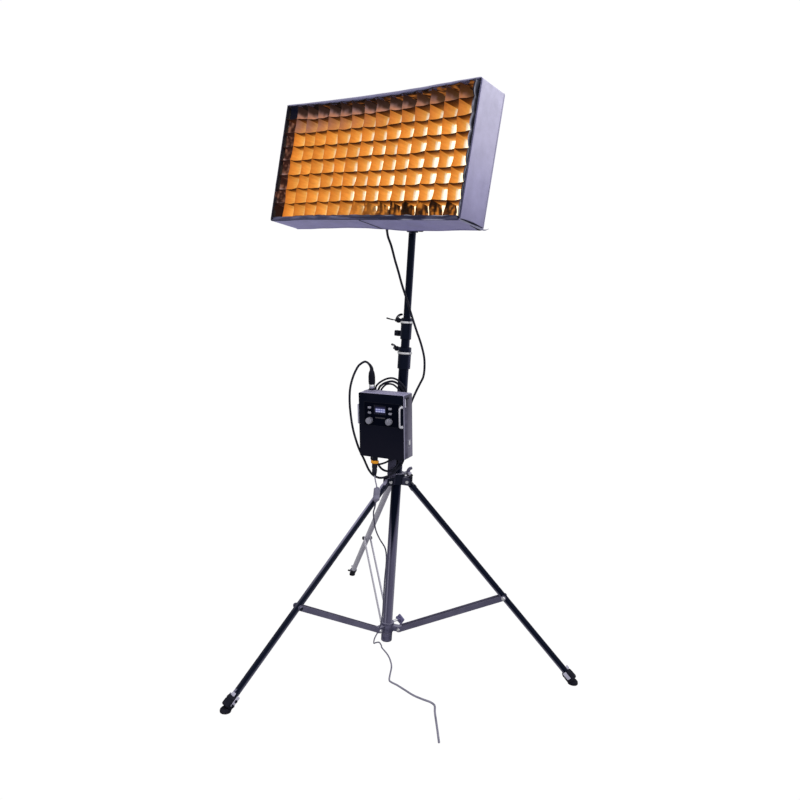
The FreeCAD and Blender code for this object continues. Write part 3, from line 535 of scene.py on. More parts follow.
# --------------------------------------------------------------- materials
BLACKS = (0.0014, 0.0024, 0.0085, 1), (0.0024, 0.0036, 0.0115, 1)
# Black braces painted washed-out grey: painted light.
BRACE_GREYS = srgb(84, 81, 101), srgb(100, 97, 118)
GLOSS_PAINT = dict(grain=500, relief=0.03, specular=0.10)
COLUMN = paint("column_black_gloss", *BLACKS, roughness=0.18, tone=column_tone, **GLOSS_PAINT)
LEG_PAINT = {
    name: paint("leg_gloss_" + name, *BLACKS, roughness=0.22, tone=tone, **GLOSS_PAINT)
    for name, tone in zip(LEGS, (front_leg_tone, right_leg_tone, rear_leg_tone))}
COLLAR = paint("collar_black_satin", BLACKS[0], (0.004, 0.005, 0.013, 1), roughness=0.30,
               grain=1200, relief=0.15, specular=0.15, tone=column_tone)
CASTING = paint("casting_black_satin", (0.004, 0.0045, 0.011, 1), (0.010, 0.010, 0.020, 1),
                roughness=0.32, grain=1300, relief=0.22, specular=0.2, tone=casting_tone)
# Black casting painted washed-out grey: painted light.
PAINTED_LIGHT_CASTING = paint("casting_painted_light", srgb(66, 64, 86), srgb(98, 95, 118), roughness=0.4,
                      grain=1300, relief=0.22, specular=0.2, tone=casting_light_and_shade,
                      patch_scale=70, patch_top=0.65)
BRACE = paint("brace_satin", *BRACE_GREYS, roughness=0.34, grain=700, relief=0.08,
              specular=0.2, wear=(0.20, 0.195, 0.24, 1))
BRIGHT_BRACE = paint("brace_satin_bright", *BRACE_GREYS, roughness=0.34, grain=700,
                     relief=0.08, specular=0.3, tone=bright_brace_tone)
STEEL = metal("bright_steel", (0.80, 0.80, 0.85, 1), roughness=0.2)
CHROME = metal("chrome_bar", (0.46, 0.46, 0.50, 1), roughness=0.16, relief=0.01)
ALUMINIUM = metal("anodised_aluminium", (0.30, 0.30, 0.33, 1), roughness=0.32,
                  stretch=(40, 1, 1))
KNOB = plastic("knob_black", (0.006, 0.006, 0.011, 1), (0.013, 0.013, 0.020, 1), roughness=0.40)
RUBBER = rubber("foot_rubber", (0.008, 0.008, 0.013, 1), (0.020, 0.019, 0.027, 1))
CABLE = rubber("cable_sheath", (0.012, 0.012, 0.019, 1), (0.022, 0.022, 0.034, 1),
               roughness=0.36)
CABLE_MID = rubber("cable_sheath_mid", (0.060, 0.058, 0.090, 1), (0.095, 0.092, 0.135, 1),
                   roughness=0.42)
CABLE_GREY = rubber("cable_sheath_grey", (0.20, 0.195, 0.26, 1), (0.30, 0.29, 0.37, 1),
                    roughness=0.42)
CASE = case_front_material()
# Black knobs painted pale lavender where the light washes over them: painted light.
PAINTED_LIGHT_KNOB = paint("knob_painted_light", srgb(98, 94, 130), srgb(132, 128, 164), roughness=0.45,
              relief=0.1, specular=0.15)
HANDLE = paint("handle_satin", srgb(186, 185, 194), srgb(214, 213, 220), roughness=0.25,
               relief=0.04, specular=0.5)
RAIL = paint("rail_satin_grey", srgb(172, 170, 190), srgb(196, 194, 210), roughness=0.4,
             relief=0.06, specular=0.2)
CASE_SIDE = case_side_material()
KEY = plastic("key_grey", (0.24, 0.24, 0.30, 1), (0.32, 0.32, 0.39, 1), roughness=0.35)
DIAL = plastic("dial_grey", (0.18, 0.18, 0.225, 1), (0.27, 0.27, 0.33, 1), roughness=0.35)
BOARD = plastic("circuit_green", (0.01, 0.09, 0.03, 1), (0.02, 0.14, 0.05, 1), roughness=0.4)
ORANGE = plastic("ring_orange", srgb(232, 150, 30), srgb(246, 176, 60), roughness=0.4)
ADAPTER = plastic("adapter_grey", (0.20, 0.195, 0.27, 1), (0.27, 0.26, 0.35, 1), roughness=0.38)
PORT = plastic("port_white", (0.62, 0.61, 0.66, 1), (0.74, 0.73, 0.78, 1), roughness=0.35)
PRINT = plastic("print_grey", (0.045, 0.042, 0.05, 1), (0.07, 0.066, 0.075, 1), roughness=0.5)
NYLON = nylon("softbox_nylon", (0.43, 0.415, 0.565, 1), (0.49, 0.475, 0.635, 1))
BACK_CLOTH = nylon("softbox_back", (0.030, 0.029, 0.042, 1), (0.045, 0.043, 0.060, 1),
                   roughness=0.55, sheen=0.1)
WEBBING = nylon("webbing_black", (0.012, 0.012, 0.018, 1), (0.024, 0.024, 0.032, 1),
                roughness=0.6, sheen=0.1, scale=2600.0)
SHELL_CLOTH = tinted("softbox_shell_cloth")
HEM = tinted("softbox_hem_cloth", roughness=0.55, sheen=0.0, specular=0.15)
DIFFUSER = glow("diffuser_glow", (1.0, 0.80, 0.52, 1), strength=1.55, thread_shade=0.05)
CHIP = glow("lamp_chip", (1.0, 0.70, 0.36, 1), strength=3.0)
LAMP_MAT = nylon("lamp_mat", (0.55, 0.54, 0.52, 1), (0.65, 0.64, 0.60, 1), roughness=0.6)
GRID = grid_material()
SCREEN = screen_material()

CAD_MATERIALS = (
    (COLUMN, "base_tube middle_tube top_tube"),
    (CASTING, "tripod_hub pan_receiver box_bracket top_stud"),
    (COLLAR, "lower_section_collar upper_section_collar"),
    (PAINTED_LIGHT_CASTING, "brace_collar base_end_cap"),
    *((LEG_PAINT[leg], "leg_end_%s leg_tube_%s" % (leg, leg)) for leg in LEGS),
    (BRACE, "brace_front brace_right"),
    (BRIGHT_BRACE, "brace_rear"),
    (RUBBER, "foot_front foot_right foot_rear"),
    (STEEL, "brace_pins hub_pins tilt_bolt mount_screws support_rods"),
    (PAINTED_LIGHT_KNOB, "brace_lock_knob"),
    (KNOB, "hub_lock_knob lower_section_knob upper_tee_handle upper_collar_knob pan_lock_knob"
           " tilt_lever cable_gland signal_plug"),
    (CABLE, "panel_cable cable_coil power_lead lead_adapter"),
    (ALUMINIUM, "tilt_arm mount_plate"),
    (CASE, "case_front"),
    (CASE_SIDE, "case_rear power_switch"),
    (SCREEN, "display_panel"),
    (KEY, "button_1 button_2 button_3 button_4"),
    (DIAL, "dial_left dial_right"),
    (CHROME, "grab_handle"),
    (BOARD, "main_board"),
    (LAMP_MAT, "led_mat"),
    (CHIP, "led_chips"),
    (DIFFUSER, "front_diffuser"),
    (NYLON, "softbox_shell"),
    (GRID, "fabric_grid"),
)
for material, names in CAD_MATERIALS:
    for name in names.split():
        slots = CAD_NODES[name].data.materials
        slots.clear()
        slots.append(material)


# -------------------------------------------------------------- mesh tools
def build(name, verts, faces, material, place=WORLD, smooth=True):
    mesh = bpy.data.meshes.new(name)
    mesh.from_pydata([tuple(v) for v in verts], [], faces)
    mesh.validate()
    mesh.update()
    made = bpy.data.objects.new(name, mesh)
    bpy.context.scene.collection.objects.link(made)
    made.matrix_world = place
    mesh.materials.append(material)
    if smooth:
        mesh.polygons.foreach_set("use_smooth", [True] * len(mesh.polygons))
    return made


def attach(made, body, replaces=None):
    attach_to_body(made, body)
    if replaces:
        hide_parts(replaces)


def store_colours(made, name, colours):
    layer = made.data.color_attributes.new(name, 'FLOAT_COLOR', 'POINT')
    for i, colour in enumerate(colours):
        layer.data[i].color = (colour[0], colour[1], colour[2], 1.0)


def orient(made, outwardness=None):
    """Makes face normals agree; if the outwardness of the faces sums below 0, flips them."""
    mesh = bmesh.new()
    mesh.from_mesh(made.data)
    bmesh.ops.recalc_face_normals(mesh, faces=mesh.faces)
    if outwardness and sum(outwardness(face) for face in mesh.faces) < 0:
        bmesh.ops.reverse_faces(mesh, faces=mesh.faces)
    mesh.to_mesh(made.data)
    mesh.free()


def shade(made, degrees):
    """Smooth shading with edges sharper than the angle kept."""
    made.data.polygons.foreach_set("use_smooth", [True] * len(made.data.polygons))
    mesh = bmesh.new()
    mesh.from_mesh(made.data)
    for edge in mesh.edges:
        if len(edge.link_faces) == 2:
            edge.smooth = edge.calc_face_angle(0) < math.radians(degrees)
    mesh.to_mesh(made.data)
    mesh.free()


def thicken(made, thickness, offset=0):
    solid = made.modifiers.new("cloth", "SOLIDIFY")
    solid.thickness = thickness * MM
    solid.offset = offset


def bands(rows, count, loop=False):
    """Quads between neighbouring rings of count points; loop joins the last to the first."""
    faces = []
    for i in range(rows if loop else rows - 1):
        near, far = i * count, (i + 1) % rows * count
        for s in range(count):
            after = (s + 1) % count
            faces.append((near + s, near + after, far + after, far + s))
    return faces


def circle(centre, first, second, radius, seg):
    angles = [2 * math.pi * s / seg for s in range(seg)]
    return [centre + (first * math.cos(a) + second * math.sin(a)) * radius for a in angles]


def catmull(a, b, c, d, t):
    return 0.5 * ((2 * b) + (c - a) * t + (2 * a - 5 * b + 4 * c - d) * t * t
                  + (3 * b - a - 3 * c + d) * t ** 3)


def spline(stations, samples=12):
    """Catmull-Rom curve through the stations, so many samples a span."""
    pts = [Vector(station) for station in stations]
    pts = [pts[0] * 2 - pts[1]] + pts + [pts[-1] * 2 - pts[-2]]
    out = []
    for i in range(1, len(pts) - 2):
        out += [catmull(*pts[i - 1:i + 3], s / samples) for s in range(samples)]
    out.append(pts[-2].copy())
    return out


def tangent(path, i):
    return (path[min(i + 1, len(path) - 1)] - path[max(i - 1, 0)]).normalized()


def tube(name, path, radius, material, body=None, seg=12):
    """Round cord with closed ends on a path in metres; radius in mm, or a function of 0 to 1."""
    def radius_at(share):
        return (radius(share) if callable(radius) else radius) * MM

    start = (path[1] - path[0]).normalized()
    normal = start.cross(Vector((0, 0, 1)))
    if normal.length < 1e-4:
        normal = start.cross(Vector((1, 0, 0)))
    normal.normalize()
    last = len(path) - 1
    verts = []
    for i, point in enumerate(path):
        way = tangent(path, i)
        normal = (normal - way * normal.dot(way)).normalized()
        verts += circle(point, normal, way.cross(normal), radius_at(i / last), seg)
    faces = bands(len(path), seg)
    tip = len(verts)
    verts.append(path[0] - start * radius_at(0) * 0.35)
    verts.append(path[-1] + (path[-1] - path[-2]).normalized() * radius_at(1) * 0.35)
    for s in range(seg):
        faces.append((tip, (s + 1) % seg, s))
        faces.append((tip + 1, last * seg + s, last * seg + (s + 1) % seg))
    made = build(name, verts, faces, material)
    if body:
        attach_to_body(made, body)
    return made


def cord(name, stations, radius, material, body, samples=8, seg=12):
    """Tube through stations in mm."""
    return tube(name, spline(metres(stations), samples), radius, material, body, seg)


def lathe(name, profile, material, place, body, seg=48, bevel=0.0):
    """Turned piece about local Z from (radius, height); closed on itself or on the axis."""
    on_axis = 1e-6
    verts, faces, rings = [], [], []
    for radius, z in profile:
        if radius < on_axis:
            rings.append([len(verts)])
            verts.append(mm(0, 0, z))
        else:
            rings.append(list(range(len(verts), len(verts) + seg)))
            for s in range(seg):
                angle = 2 * math.pi * s / seg
                verts.append(mm(radius * math.cos(angle), radius * math.sin(angle), z))
    closed = profile[0][0] > on_axis and profile[-1][0] > on_axis
    for i in range(len(profile) if closed else len(profile) - 1):
        low, high = rings[i], rings[(i + 1) % len(profile)]
        for s in range(seg):
            after = (s + 1) % seg
            if len(low) == 1:
                faces.append((low[0], high[s], high[after]))
            elif len(high) == 1:
                faces.append((low[s], high[0], low[after]))
            else:
                faces.append((low[s], high[s], high[after], low[after]))
    made = build(name, verts, faces, material, place)
    orient(made)
    if bevel:
        rounding = made.modifiers.new("b", "BEVEL")
        rounding.width = bevel * MM
        rounding.segments = 3
        rounding.limit_method = 'ANGLE'
        rounding.angle_limit = math.radians(35)
        rounding.harden_normals = False
    shade(made, 35)
    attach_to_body(made, body)
    return made


def block(name, size, material, place, body, radius=1.0, seg=3, at=(0, 0, 0)):
    """Rounded block of (x, y, z) size centred at 'at' in its place."""
    cube = bmesh.new()
    bmesh.ops.create_cube(cube, size=1.0)
    for v in cube.verts:
        v.co = mm(*(v.co[i] * size[i] + at[i] for i in range(3)))
    bmesh.ops.bevel(cube, geom=list(cube.edges), offset=radius * MM, segments=seg,
                    profile=0.5, affect='EDGES')
    mesh = bpy.data.meshes.new(name)
    cube.to_mesh(mesh)
    cube.free()
    made = bpy.data.objects.new(name, mesh)
    bpy.context.scene.collection.objects.link(made)
    mesh.materials.append(material)
    made.matrix_world = place
    shade(made, 50)
    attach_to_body(made, body)


# ------------------------------------------------------------ colour tools
def lin(*rgb):
    return Vector(srgb(*rgb)[:3])


def ramp(share, stops):
    """Colour at the share, from (place, colour) stops."""
    share = max(0.0, min(1.0, share))
    for (low, low_colour), (high, high_colour) in zip(stops, stops[1:]):
        if share <= high:
            return low_colour.lerp(high_colour, (share - low) / (high - low))
    return stops[-1][1].copy()


def ease(start, end, value):
    """Smooth step from 0 at start to 1 at end; start may be the larger."""
    share = max(0.0, min(1.0, (value - start) / (end - start)))
    return share * share * (3 - 2 * share)


def rumple(x, y, z):
    return noise(Vector((x, y, z)))


# --------------------------------------------------------- egg-crate grid
# Upright strips 0 to NX from left to right, level strips 0 to NZ from bottom to top.
NX, NZ = 15, 8
ALONG, DEEP = 10, 8                        # quads along a strip and through its depth
GRID_FRONT, GRID_BACK = -103.0, -58.5
GRID_LEFT = -343.0
draws = random.Random(11)


def grid_right(z):
    share = (z + HALF_H) / (2 * HALF_H)
    return 337.0 - 1.0 * share - 9.0 * max(0.0, min(1.0, (share - 0.45) / 0.4))


def grid_top(x):
    return 171.0 - 8.0 * max(0.0, 1 - (x / 340.0) ** 2) ** 0.8


def grid_bottom(x):
    return -160.5 + 1.0 * math.cos(x * 0.01)


def crossing(i, j):
    """Front and back point where upright strip i meets level strip j."""
    across, up = i / NX, j / NZ
    x_plain = -HALF_W + 2 * HALF_W * across
    z_top, z_low = grid_top(x_plain), grid_bottom(x_plain)
    z = z_low + (z_top - z_low) * up
    x = GRID_LEFT + (grid_right(-HALF_H + 2 * HALF_H * up) - GRID_LEFT) * across
    in_x, in_z = 0 < i < NX, 0 < j < NZ
    dx = dy = dz = 0.0
    if in_x:
        dx = draws.uniform(-2.4, 2.4)
    elif i == 0:
        dx = draws.uniform(-0.6, 0.6)
    if in_z:
        dz = draws.uniform(-1.9, 1.9)
    if in_x and in_z:
        dy = draws.uniform(-0.8, 2.0)
    y_front = GRID_FRONT + dy
    if i == 0 or j == NZ:
        y_front = -105.6
    if j == 0:
        y_front = -104.0
    if j == NZ or (j == 0 and i > 6):
        y_back = -40.0
    elif j == NZ - 1:
        y_back = -50.0
    else:
        y_back = GRID_BACK
    x_back = -337.0 + 674.0 * across + dx * 0.45
    z_back = -164.0 + 328.0 * up + dz * 0.45 - (5.0 if j == NZ else 0.0)
    return Vector((x + dx, y_front, z + dz)), Vector((x_back, y_back, z_back))


crossings = [[crossing(i, j) for j in range(NZ + 1)] for i in range(NX + 1)]

# Grid colours, all painted light and shade: the upright walls glow amber, paler toward the
# diffuser at the back; the level strips run from shadow browns at the front to amber deep in;
# the top and bottom rows, the left column and the outer walls are painted in shade with grey and
# pink glows.
AMBER, GLOW_MID = lin(212, 116, 36), lin(240, 146, 56)
UPRIGHT = [(0.0, AMBER), (0.16, AMBER.lerp(GLOW_MID, 0.55)), (0.45, GLOW_MID),
           (0.8, lin(254, 176, 84)), (1.0, lin(255, 216, 150))]
UMBER, SHADE_BROWN, OCHRE = lin(44, 17, 4), lin(80, 36, 8), lin(148, 82, 22)
LEVEL = [(0.0, UMBER), (0.20, SHADE_BROWN), (0.44, OCHRE), (0.72, lin(226, 142, 60)),
         (1.0, lin(248, 176, 94))]
LEVEL_UPPER = [(0.0, UMBER * 0.7), (0.6, SHADE_BROWN), (1.0, OCHRE)]
LEVEL_TOP = [(0.0, lin(14, 7, 8)), (0.45, lin(30, 14, 8)), (0.75, lin(92, 50, 20)),
             (1.0, lin(168, 100, 44))]
BROWN, TAN = lin(56, 29, 24), lin(118, 78, 62)
UPRIGHT_LEFT = [(0.0, BROWN * 0.6), (0.5, BROWN), (0.85, TAN), (1.0, TAN * 1.4)]
LEVEL_LEFT = [(0.0, BROWN * 0.5), (0.5, BROWN), (1.0, TAN)]
GREYS = [(0.0, lin(74, 58, 62)), (0.5, lin(124, 98, 98)), (1.0, lin(176, 118, 90))]
UPRIGHT_LOW = [(0.0, lin(20, 9, 5)), (0.5, lin(46, 22, 9)), (0.85, lin(112, 62, 20)),
               (1.0, lin(196, 118, 42))]
PINK, NAVY = lin(206, 166, 160), lin(13, 15, 30)


def glow_left_upright(j, up, deep, coarse, fine):
    if j == NZ - 1:
        return NAVY * (1.0 + 0.6 * coarse)
    if j == 0:
        return BROWN * 0.45
    colour = ramp(0.5 + 1.1 * coarse + 0.5 * fine, UPRIGHT_LEFT)
    pink = ease(0.30, 0.06, up) * ease(0.0, 0.25, deep) * (0.55 + 0.8 * coarse)
    return colour.lerp(PINK * 0.8, max(0.0, min(1.0, pink)))


def glow_upright(i, j, up, deep, point):
    """Upright strip i between rows j and j + 1; up is 0 at the bottom, deep 0 at the front."""
    x, y, z = point
    coarse = rumple(x * 0.05 + 3 * i, y * 0.11, z * 0.05)
    fine = rumple(x * 0.13, y * 0.2 + 9 * j, z * 0.13)
    if i == 0:
        return glow_left_upright(j, up, deep, coarse, fine)
    if i == NX:
        edge = ease(0.16, 0.0, deep)
        return lin(9, 9, 20).lerp(lin(166, 168, 188),
                                  edge * (0.5 + 0.5 * ease(-0.2, 0.3, coarse)))
    colour = ramp(deep + 0.10 * coarse + 0.06 * fine, UPRIGHT)
    colour *= 1.0 - 0.34 * ease(0.55, 1.0, up) * (1 - 0.6 * deep)
    colour *= 0.97 + 0.07 * math.sin(i * 2.1 + j * 1.3)
    pale = ease(1.0, 8.5, i) * ease(0.76, 0.97, deep) * ease(1.02, 0.80, up)
    pale *= 1.0 if 0 < j < NZ - 1 else 0.30
    colour = colour.lerp(lin(255, 246, 226), pale)
    if j >= NZ - 2:
        grey = ramp(1.0 - up + 0.25 * deep + 0.2 * coarse, GREYS)
        if j == NZ - 1:
            warm = colour * (0.16 + 0.5 * ease(0.6, 0.0, up))
            grey = grey.lerp(lin(16, 10, 12), ease(0.22, 0.66, up + 0.25 * coarse) * 0.95)
            grey *= 1.15 + 0.4 * ease(0.0, 0.5, deep)
            share = (1.0 - 0.45 * ease(9, 14, i)) * 0.85
        else:
            warm = colour * 0.9
            share = (0.85 - 0.75 * ease(1, 10, i)) * (0.9 - 0.6 * deep)
        colour = warm.lerp(grey, share)
    if j == 0:
        dark = ramp(0.5 + 1.2 * coarse + 0.4 * fine + 0.25 * deep, UPRIGHT_LOW)
        colour = colour.lerp(dark, ease(4.5, 10.0, i))
        colour *= 1.0 - 0.35 * ease(0.35, 0.0, up) * (0.5 + fine)
    return colour


def glow_level(i, j, across, deep, point):
    """Level strip j between columns i and i + 1; across is 0 at the left, deep 0 in front."""
    x, y, z = point
    coarse = rumple(x * 0.06, y * 0.12, z * 0.06 + 5)
    if j == 0:
        return lin(30, 24, 34)
    if j == NZ:
        if i == 0:
            return NAVY * (1.0 + 0.6 * coarse)
        if i < 3:
            return lin(16, 11, 13) * (1.0 + 0.4 * coarse)
        fine = rumple(x * 0.16 + 4, y * 0.2, z * 0.1)
        colour = ramp(0.30 + 0.9 * coarse + 0.5 * fine + 0.35 * ease(2, 13, i), LEVEL_TOP)
        return colour * (1 - 0.6 * ease(0.25, 0.0, deep))
    share = deep + 0.12 * coarse + 0.10 * (across - 0.5)
    colour = ramp(share, LEVEL_LEFT if i == 0 else LEVEL)
    if j == NZ - 1:
        colour = colour.lerp(ramp(share, LEVEL_UPPER), 0.7)
    return colour


grid_verts, grid_faces, grid_colours = [], [], []


def strip(start, end, glow_at, i, j, bow, sag, recess, rough):
    """Ruled cloth between two crossings.

    bow is a sideways vector at the middle, sag lowers it, recess draws its front edge back
    and rough is the size of the wrinkles.
    """
    base = len(grid_verts)
    side = bow.normalized()
    for row in range(DEEP + 1):
        deep = row / DEEP
        for step in range(ALONG + 1):
            share = step / ALONG
            middle = 4 * share * (1 - share)
            point = (start[0].lerp(end[0], share)).lerp(start[1].lerp(end[1], share), deep)
            drop = Vector((0, 0, -sag * middle * (1 - 0.6 * deep)))
            point = point + bow * (middle * (1 - 0.75 * deep)) + drop
            point.y += recess * middle * (1 - deep) ** 2
            x, y, z = point
            held = min(1.0, 3 * middle)
            wrinkle = rumple(x * 0.05, y * 0.035, z * 0.05) * rough * (1 - 0.4 * deep) * held
            wrinkle += rumple(x * 0.13, y * 0.09, z * 0.13) * rough * 0.4 * held
            point += side * wrinkle
            grid_verts.append(point * MM)
            grid_colours.append(glow_at(i, j, share, deep, point))
    for row in range(DEEP):
        for step in range(ALONG):
            a = base + row * (ALONG + 1) + step
            grid_faces.append((a, a + 1, a + ALONG + 2, a + ALONG + 1))


# The first draws of each strip are made for every strip, so that the sequence holds.
for j in range(NZ + 1):
    for i in range(NX):
        rough = 0.8
        sag, recess = draws.uniform(0.4, 1.9), draws.uniform(1.0, 3.0)
        bow = Vector((0, 0, draws.uniform(-0.6, 0.6)))
        if j == NZ:
            bow = Vector((0, 0, -1)) * draws.uniform(1.6, 3.8)
            sag, recess, rough = 0.0, 0.6, 2.0
        elif j == 0:
            bow = Vector((0, 0, 1)) * draws.uniform(0.4, 1.8)
            sag, recess, rough = 0.0, 0.3, 1.2
        elif j == NZ - 1:
            rough = 1.4
        strip(crossings[i][j], crossings[i + 1][j], glow_level, i, j, bow, sag, recess, rough)
for i in range(NX + 1):
    for j in range(NZ):
        rough = 1.0
        bow, recess = Vector((draws.uniform(-1.8, 1.8), 0, 0)), draws.uniform(0.8, 2.8)
        if i == 0:
            bow = Vector((1, 0, 0)) * draws.uniform(-0.8, 1.4)
            recess, rough = 0.0, 1.8
        elif i == NX:
            bow = Vector((-1, 0, 0)) * draws.uniform(3.4, 6.0)
            recess = 0.5
        elif j == 0 and i > 7:
            bow = Vector((draws.uniform(-4.5, 4.5), 0, 0))
            recess, rough = 1.0, 3.2
        elif j == NZ - 1:
            bow = Vector((draws.uniform(-2.5, 2.5), 0, 0))
            rough = 2.0
        strip(crossings[i][j], crossings[i][j + 1], glow_upright, i, j, bow, 0.0, recess, rough)
grid = build("egg_crate_grid", grid_verts, grid_faces, GRID, PANEL)
store_colours(grid, "lit", grid_colours)
thicken(grid, 0.9)
attach(grid, "panel", "fabric_grid")


def front_edge(strips):
    """Front rows of the strips with these numbers, in order of making, joined end to end."""
    points = []
    for order in strips:
        base = order * (ALONG + 1) * (DEEP + 1)
        row = [grid_verts[base + step] / MM for step in range(ALONG + 1)]
        points += row[:-1]
    return points + row[-1:]


def level_strips(j):
    return range(j * NX, (j + 1) * NX)


def upright_strips(i):
    first = (NZ + 1) * NX + i * NZ
    return range(first, first + NZ)


def binding(name, path, radius, tint):
    """Thin binding that follows the front edge of an outermost strip."""
    seg = 6
    verts, colours = [], []
    for i, point in enumerate(path):
        out = Vector((0, 1, 0))
        side = tangent(path, i).cross(out).normalized()
        size = radius * (0.8 + 0.35 * noise(point * 0.03))
        verts += [v * MM for v in circle(point, out, side, size, seg)]
        colours += [tint(point)] * seg
    faces = bands(len(path), seg)
    faces.append(tuple(range(seg)))
    faces.append(tuple(reversed(range((len(path) - 1) * seg, len(path) * seg))))
    made = build(name, verts, faces, HEM, PANEL)
    store_colours(made, "tint", colours)
    orient(made)
    attach(made, "panel")


# Dark navy binding with painted grey highlights in patches, more of them higher up.
def right_binding_highlights(point):
    patch = noise(point * 0.018 + Vector((3, 0, 0)))
    share = ease(-0.15, 0.25, patch) * (0.35 + 0.65 * ease(-60, 60, point.z))
    return Vector((0.012, 0.012, 0.026)).lerp(Vector((0.50, 0.50, 0.60)), share)


# Dark navy binding with painted grey highlights in patches, more of them to the right.
def low_binding_highlights(point):
    patch = noise(point * 0.02 + Vector((0, 7, 0)))
    share = ease(-0.1, 0.3, patch) * (0.25 + 0.75 * ease(-80, 150, point.x))
    return Vector((0.035, 0.036, 0.07)).lerp(Vector((0.40, 0.40, 0.50)), share)


def dark_binding_tint(point):
    return Vector((0.020, 0.014, 0.018))


binding("grid_binding_right", front_edge(upright_strips(NX)), 1.5, right_binding_highlights)
binding("grid_binding_low", front_edge(level_strips(0)), 1.4, low_binding_highlights)
binding("grid_binding_top", front_edge(level_strips(NZ)), 1.0, dark_binding_tint)
binding("grid_binding_left", front_edge(upright_strips(0)), 0.9, dark_binding_tint)


# ------------------------------------------------------------ softbox body
def outline(half_w, half_h, corner, on_long, on_short, on_corner):
    """Rounded rectangle of (x, z) from the bottom left, anticlockwise seen from the front."""
    points = []

    def arc(x, z, start):
        for i in range(on_corner):
            angle = math.radians(start + 90.0 * i / on_corner)
            points.append((x + corner * math.cos(angle), z + corner * math.sin(angle)))

    def line(x0, z0, x1, z1, count):
        for i in range(count):
            share = i / count
            points.append((x0 + (x1 - x0) * share, z0 + (z1 - z0) * share))

    x_in, z_in = half_w - corner, half_h - corner
    line(-x_in, -half_h, x_in, -half_h, on_long)
    arc(x_in, -z_in, -90)
    line(half_w, -z_in, half_w, z_in, on_short)
    arc(x_in, z_in, 0)
    line(x_in, half_h, -x_in, half_h, on_long)
    arc(-x_in, z_in, 90)
    line(-half_w, z_in, -half_w, -z_in, on_short)
    arc(-x_in, -z_in, 180)
    return points


SHELL_COUNTS = (72, 38, 4)          # points on a long side, a short side and a corner
shell_outline = outline(HALF_W - 1.2, HALF_H - 1.2, 5, *SHELL_COUNTS)


def face_of(x, z):
    if abs(z) / HALF_H >= abs(x) / HALF_W:
        return 'top' if z > 0 else 'low'
    return 'right' if x > 0 else 'left'


RIGHT_SIDE = [(0.0, lin(140, 136, 174)), (0.3, lin(168, 164, 200)), (0.62, lin(198, 194, 224)),
              (1.0, lin(214, 211, 238))]
LEFT_SIDE = [(0.0, lin(110, 107, 138)), (1.0, lin(170, 167, 192))]
UNDERSIDE = [(0.0, lin(184, 179, 238)), (0.4, lin(166, 161, 220)), (0.7, lin(161, 156, 216)),
             (1.0, lin(175, 168, 226))]


def shell_tint(point):
    """Outer cloth with painted light and shade: the sides darken downwards, the right side also
    at its edges, and the underside toward its front.
    """
    x, y, z = point
    face = face_of(x, z)
    height = (z + HALF_H) / (2 * HALF_H)
    if face == 'right':
        colour = ramp(height, RIGHT_SIDE)
        colour = colour.lerp(lin(172, 168, 204), 0.65 * ease(-96, -106, y))
        colour = colour.lerp(lin(182, 177, 210), 0.55 * ease(-7, 0, y))
    elif face == 'left':
        colour = ramp(height, LEFT_SIDE)
    elif face == 'top':
        colour = lin(188, 186, 210)
    else:
        colour = ramp((x + HALF_W) / (2 * HALF_W), UNDERSIDE)
        colour = colour.lerp(lin(122, 119, 164), 0.5 * ease(-92, -106, y))
    return colour * (1.0 + 0.05 * rumple(x * 0.010, y * 0.03, z * 0.010))


def shell_point(x, z, share):
    """Outline point drawn in between the edges; share is 0 at the back and 1 at the front."""
    y = -DEPTH * share
    x_share, z_share = x / HALF_W, z / HALF_H
    middle = 4 * share * (1 - share)
    wrinkle = rumple(x * 0.012, y * 0.03, z * 0.012) * 1.0 * (0.3 + 0.7 * middle)
    wrinkle += rumple(x * 0.05 + 7, y * 0.05, z * 0.05) * 0.3
    if abs(z_share) > 0.985 and abs(x_share) < 0.97:
        away = 1 - x_share * x_share
        z -= math.copysign(1.1 * middle * (0.4 + 0.6 * away) - wrinkle * 0.6, z)
    elif abs(x_share) > 0.985 and abs(z_share) < 0.95:
        away = 1 - z_share * z_share
        x -= math.copysign(1.3 * middle * (0.4 + 0.6 * away) - wrinkle * 0.7, x)
    return Vector((x, y, z))


def build_sides(steps=18):
    points = [shell_point(x, z, i / steps) for i in range(steps + 1) for x, z in shell_outline]
    faces = bands(steps + 1, len(shell_outline))
    sides = build("softbox_sides", [point * MM for point in points], faces, SHELL_CLOTH, PANEL)
    store_colours(sides, "tint", [shell_tint(point) for point in points])
    orient(sides, lambda face: face.normal.dot(face.calc_center_median()))
    thicken(sides, 1.8, offset=-1)
    shade(sides, 60)
    attach(sides, "panel", "softbox_shell")


def build_back_sheet(half_w=64.0, half_h=46.0, steps=12):
    """Sheet from the back edge in to an opening of the given half size."""
    verts = []
    for i in range(steps + 1):
        share = i / steps
        for x, z in shell_outline:
            inward = max(abs(x) / half_w, abs(z) / half_h)
            x_in, z_in = x / inward, z / inward
            point = Vector((x + (x_in - x) * share, -1.0, z + (z_in - z) * share))
            free = min(1.0, 4 * share * (1 - share))
            point.y += 1.2 * rumple(point.x * 0.012, 3.1, point.z * 0.012) * free - 0.6 * free
            verts.append(point * MM)
    faces = [(a, d, c, b) for a, b, c, d in bands(steps + 1, len(shell_outline))]
    back = build("softbox_back_sheet", verts, faces, BACK_CLOTH, PANEL)
    orient(back, lambda face: face.normal.y)
    thicken(back, 1.6, offset=-1)
    attach(back, "panel")


build_sides()
build_back_sheet()


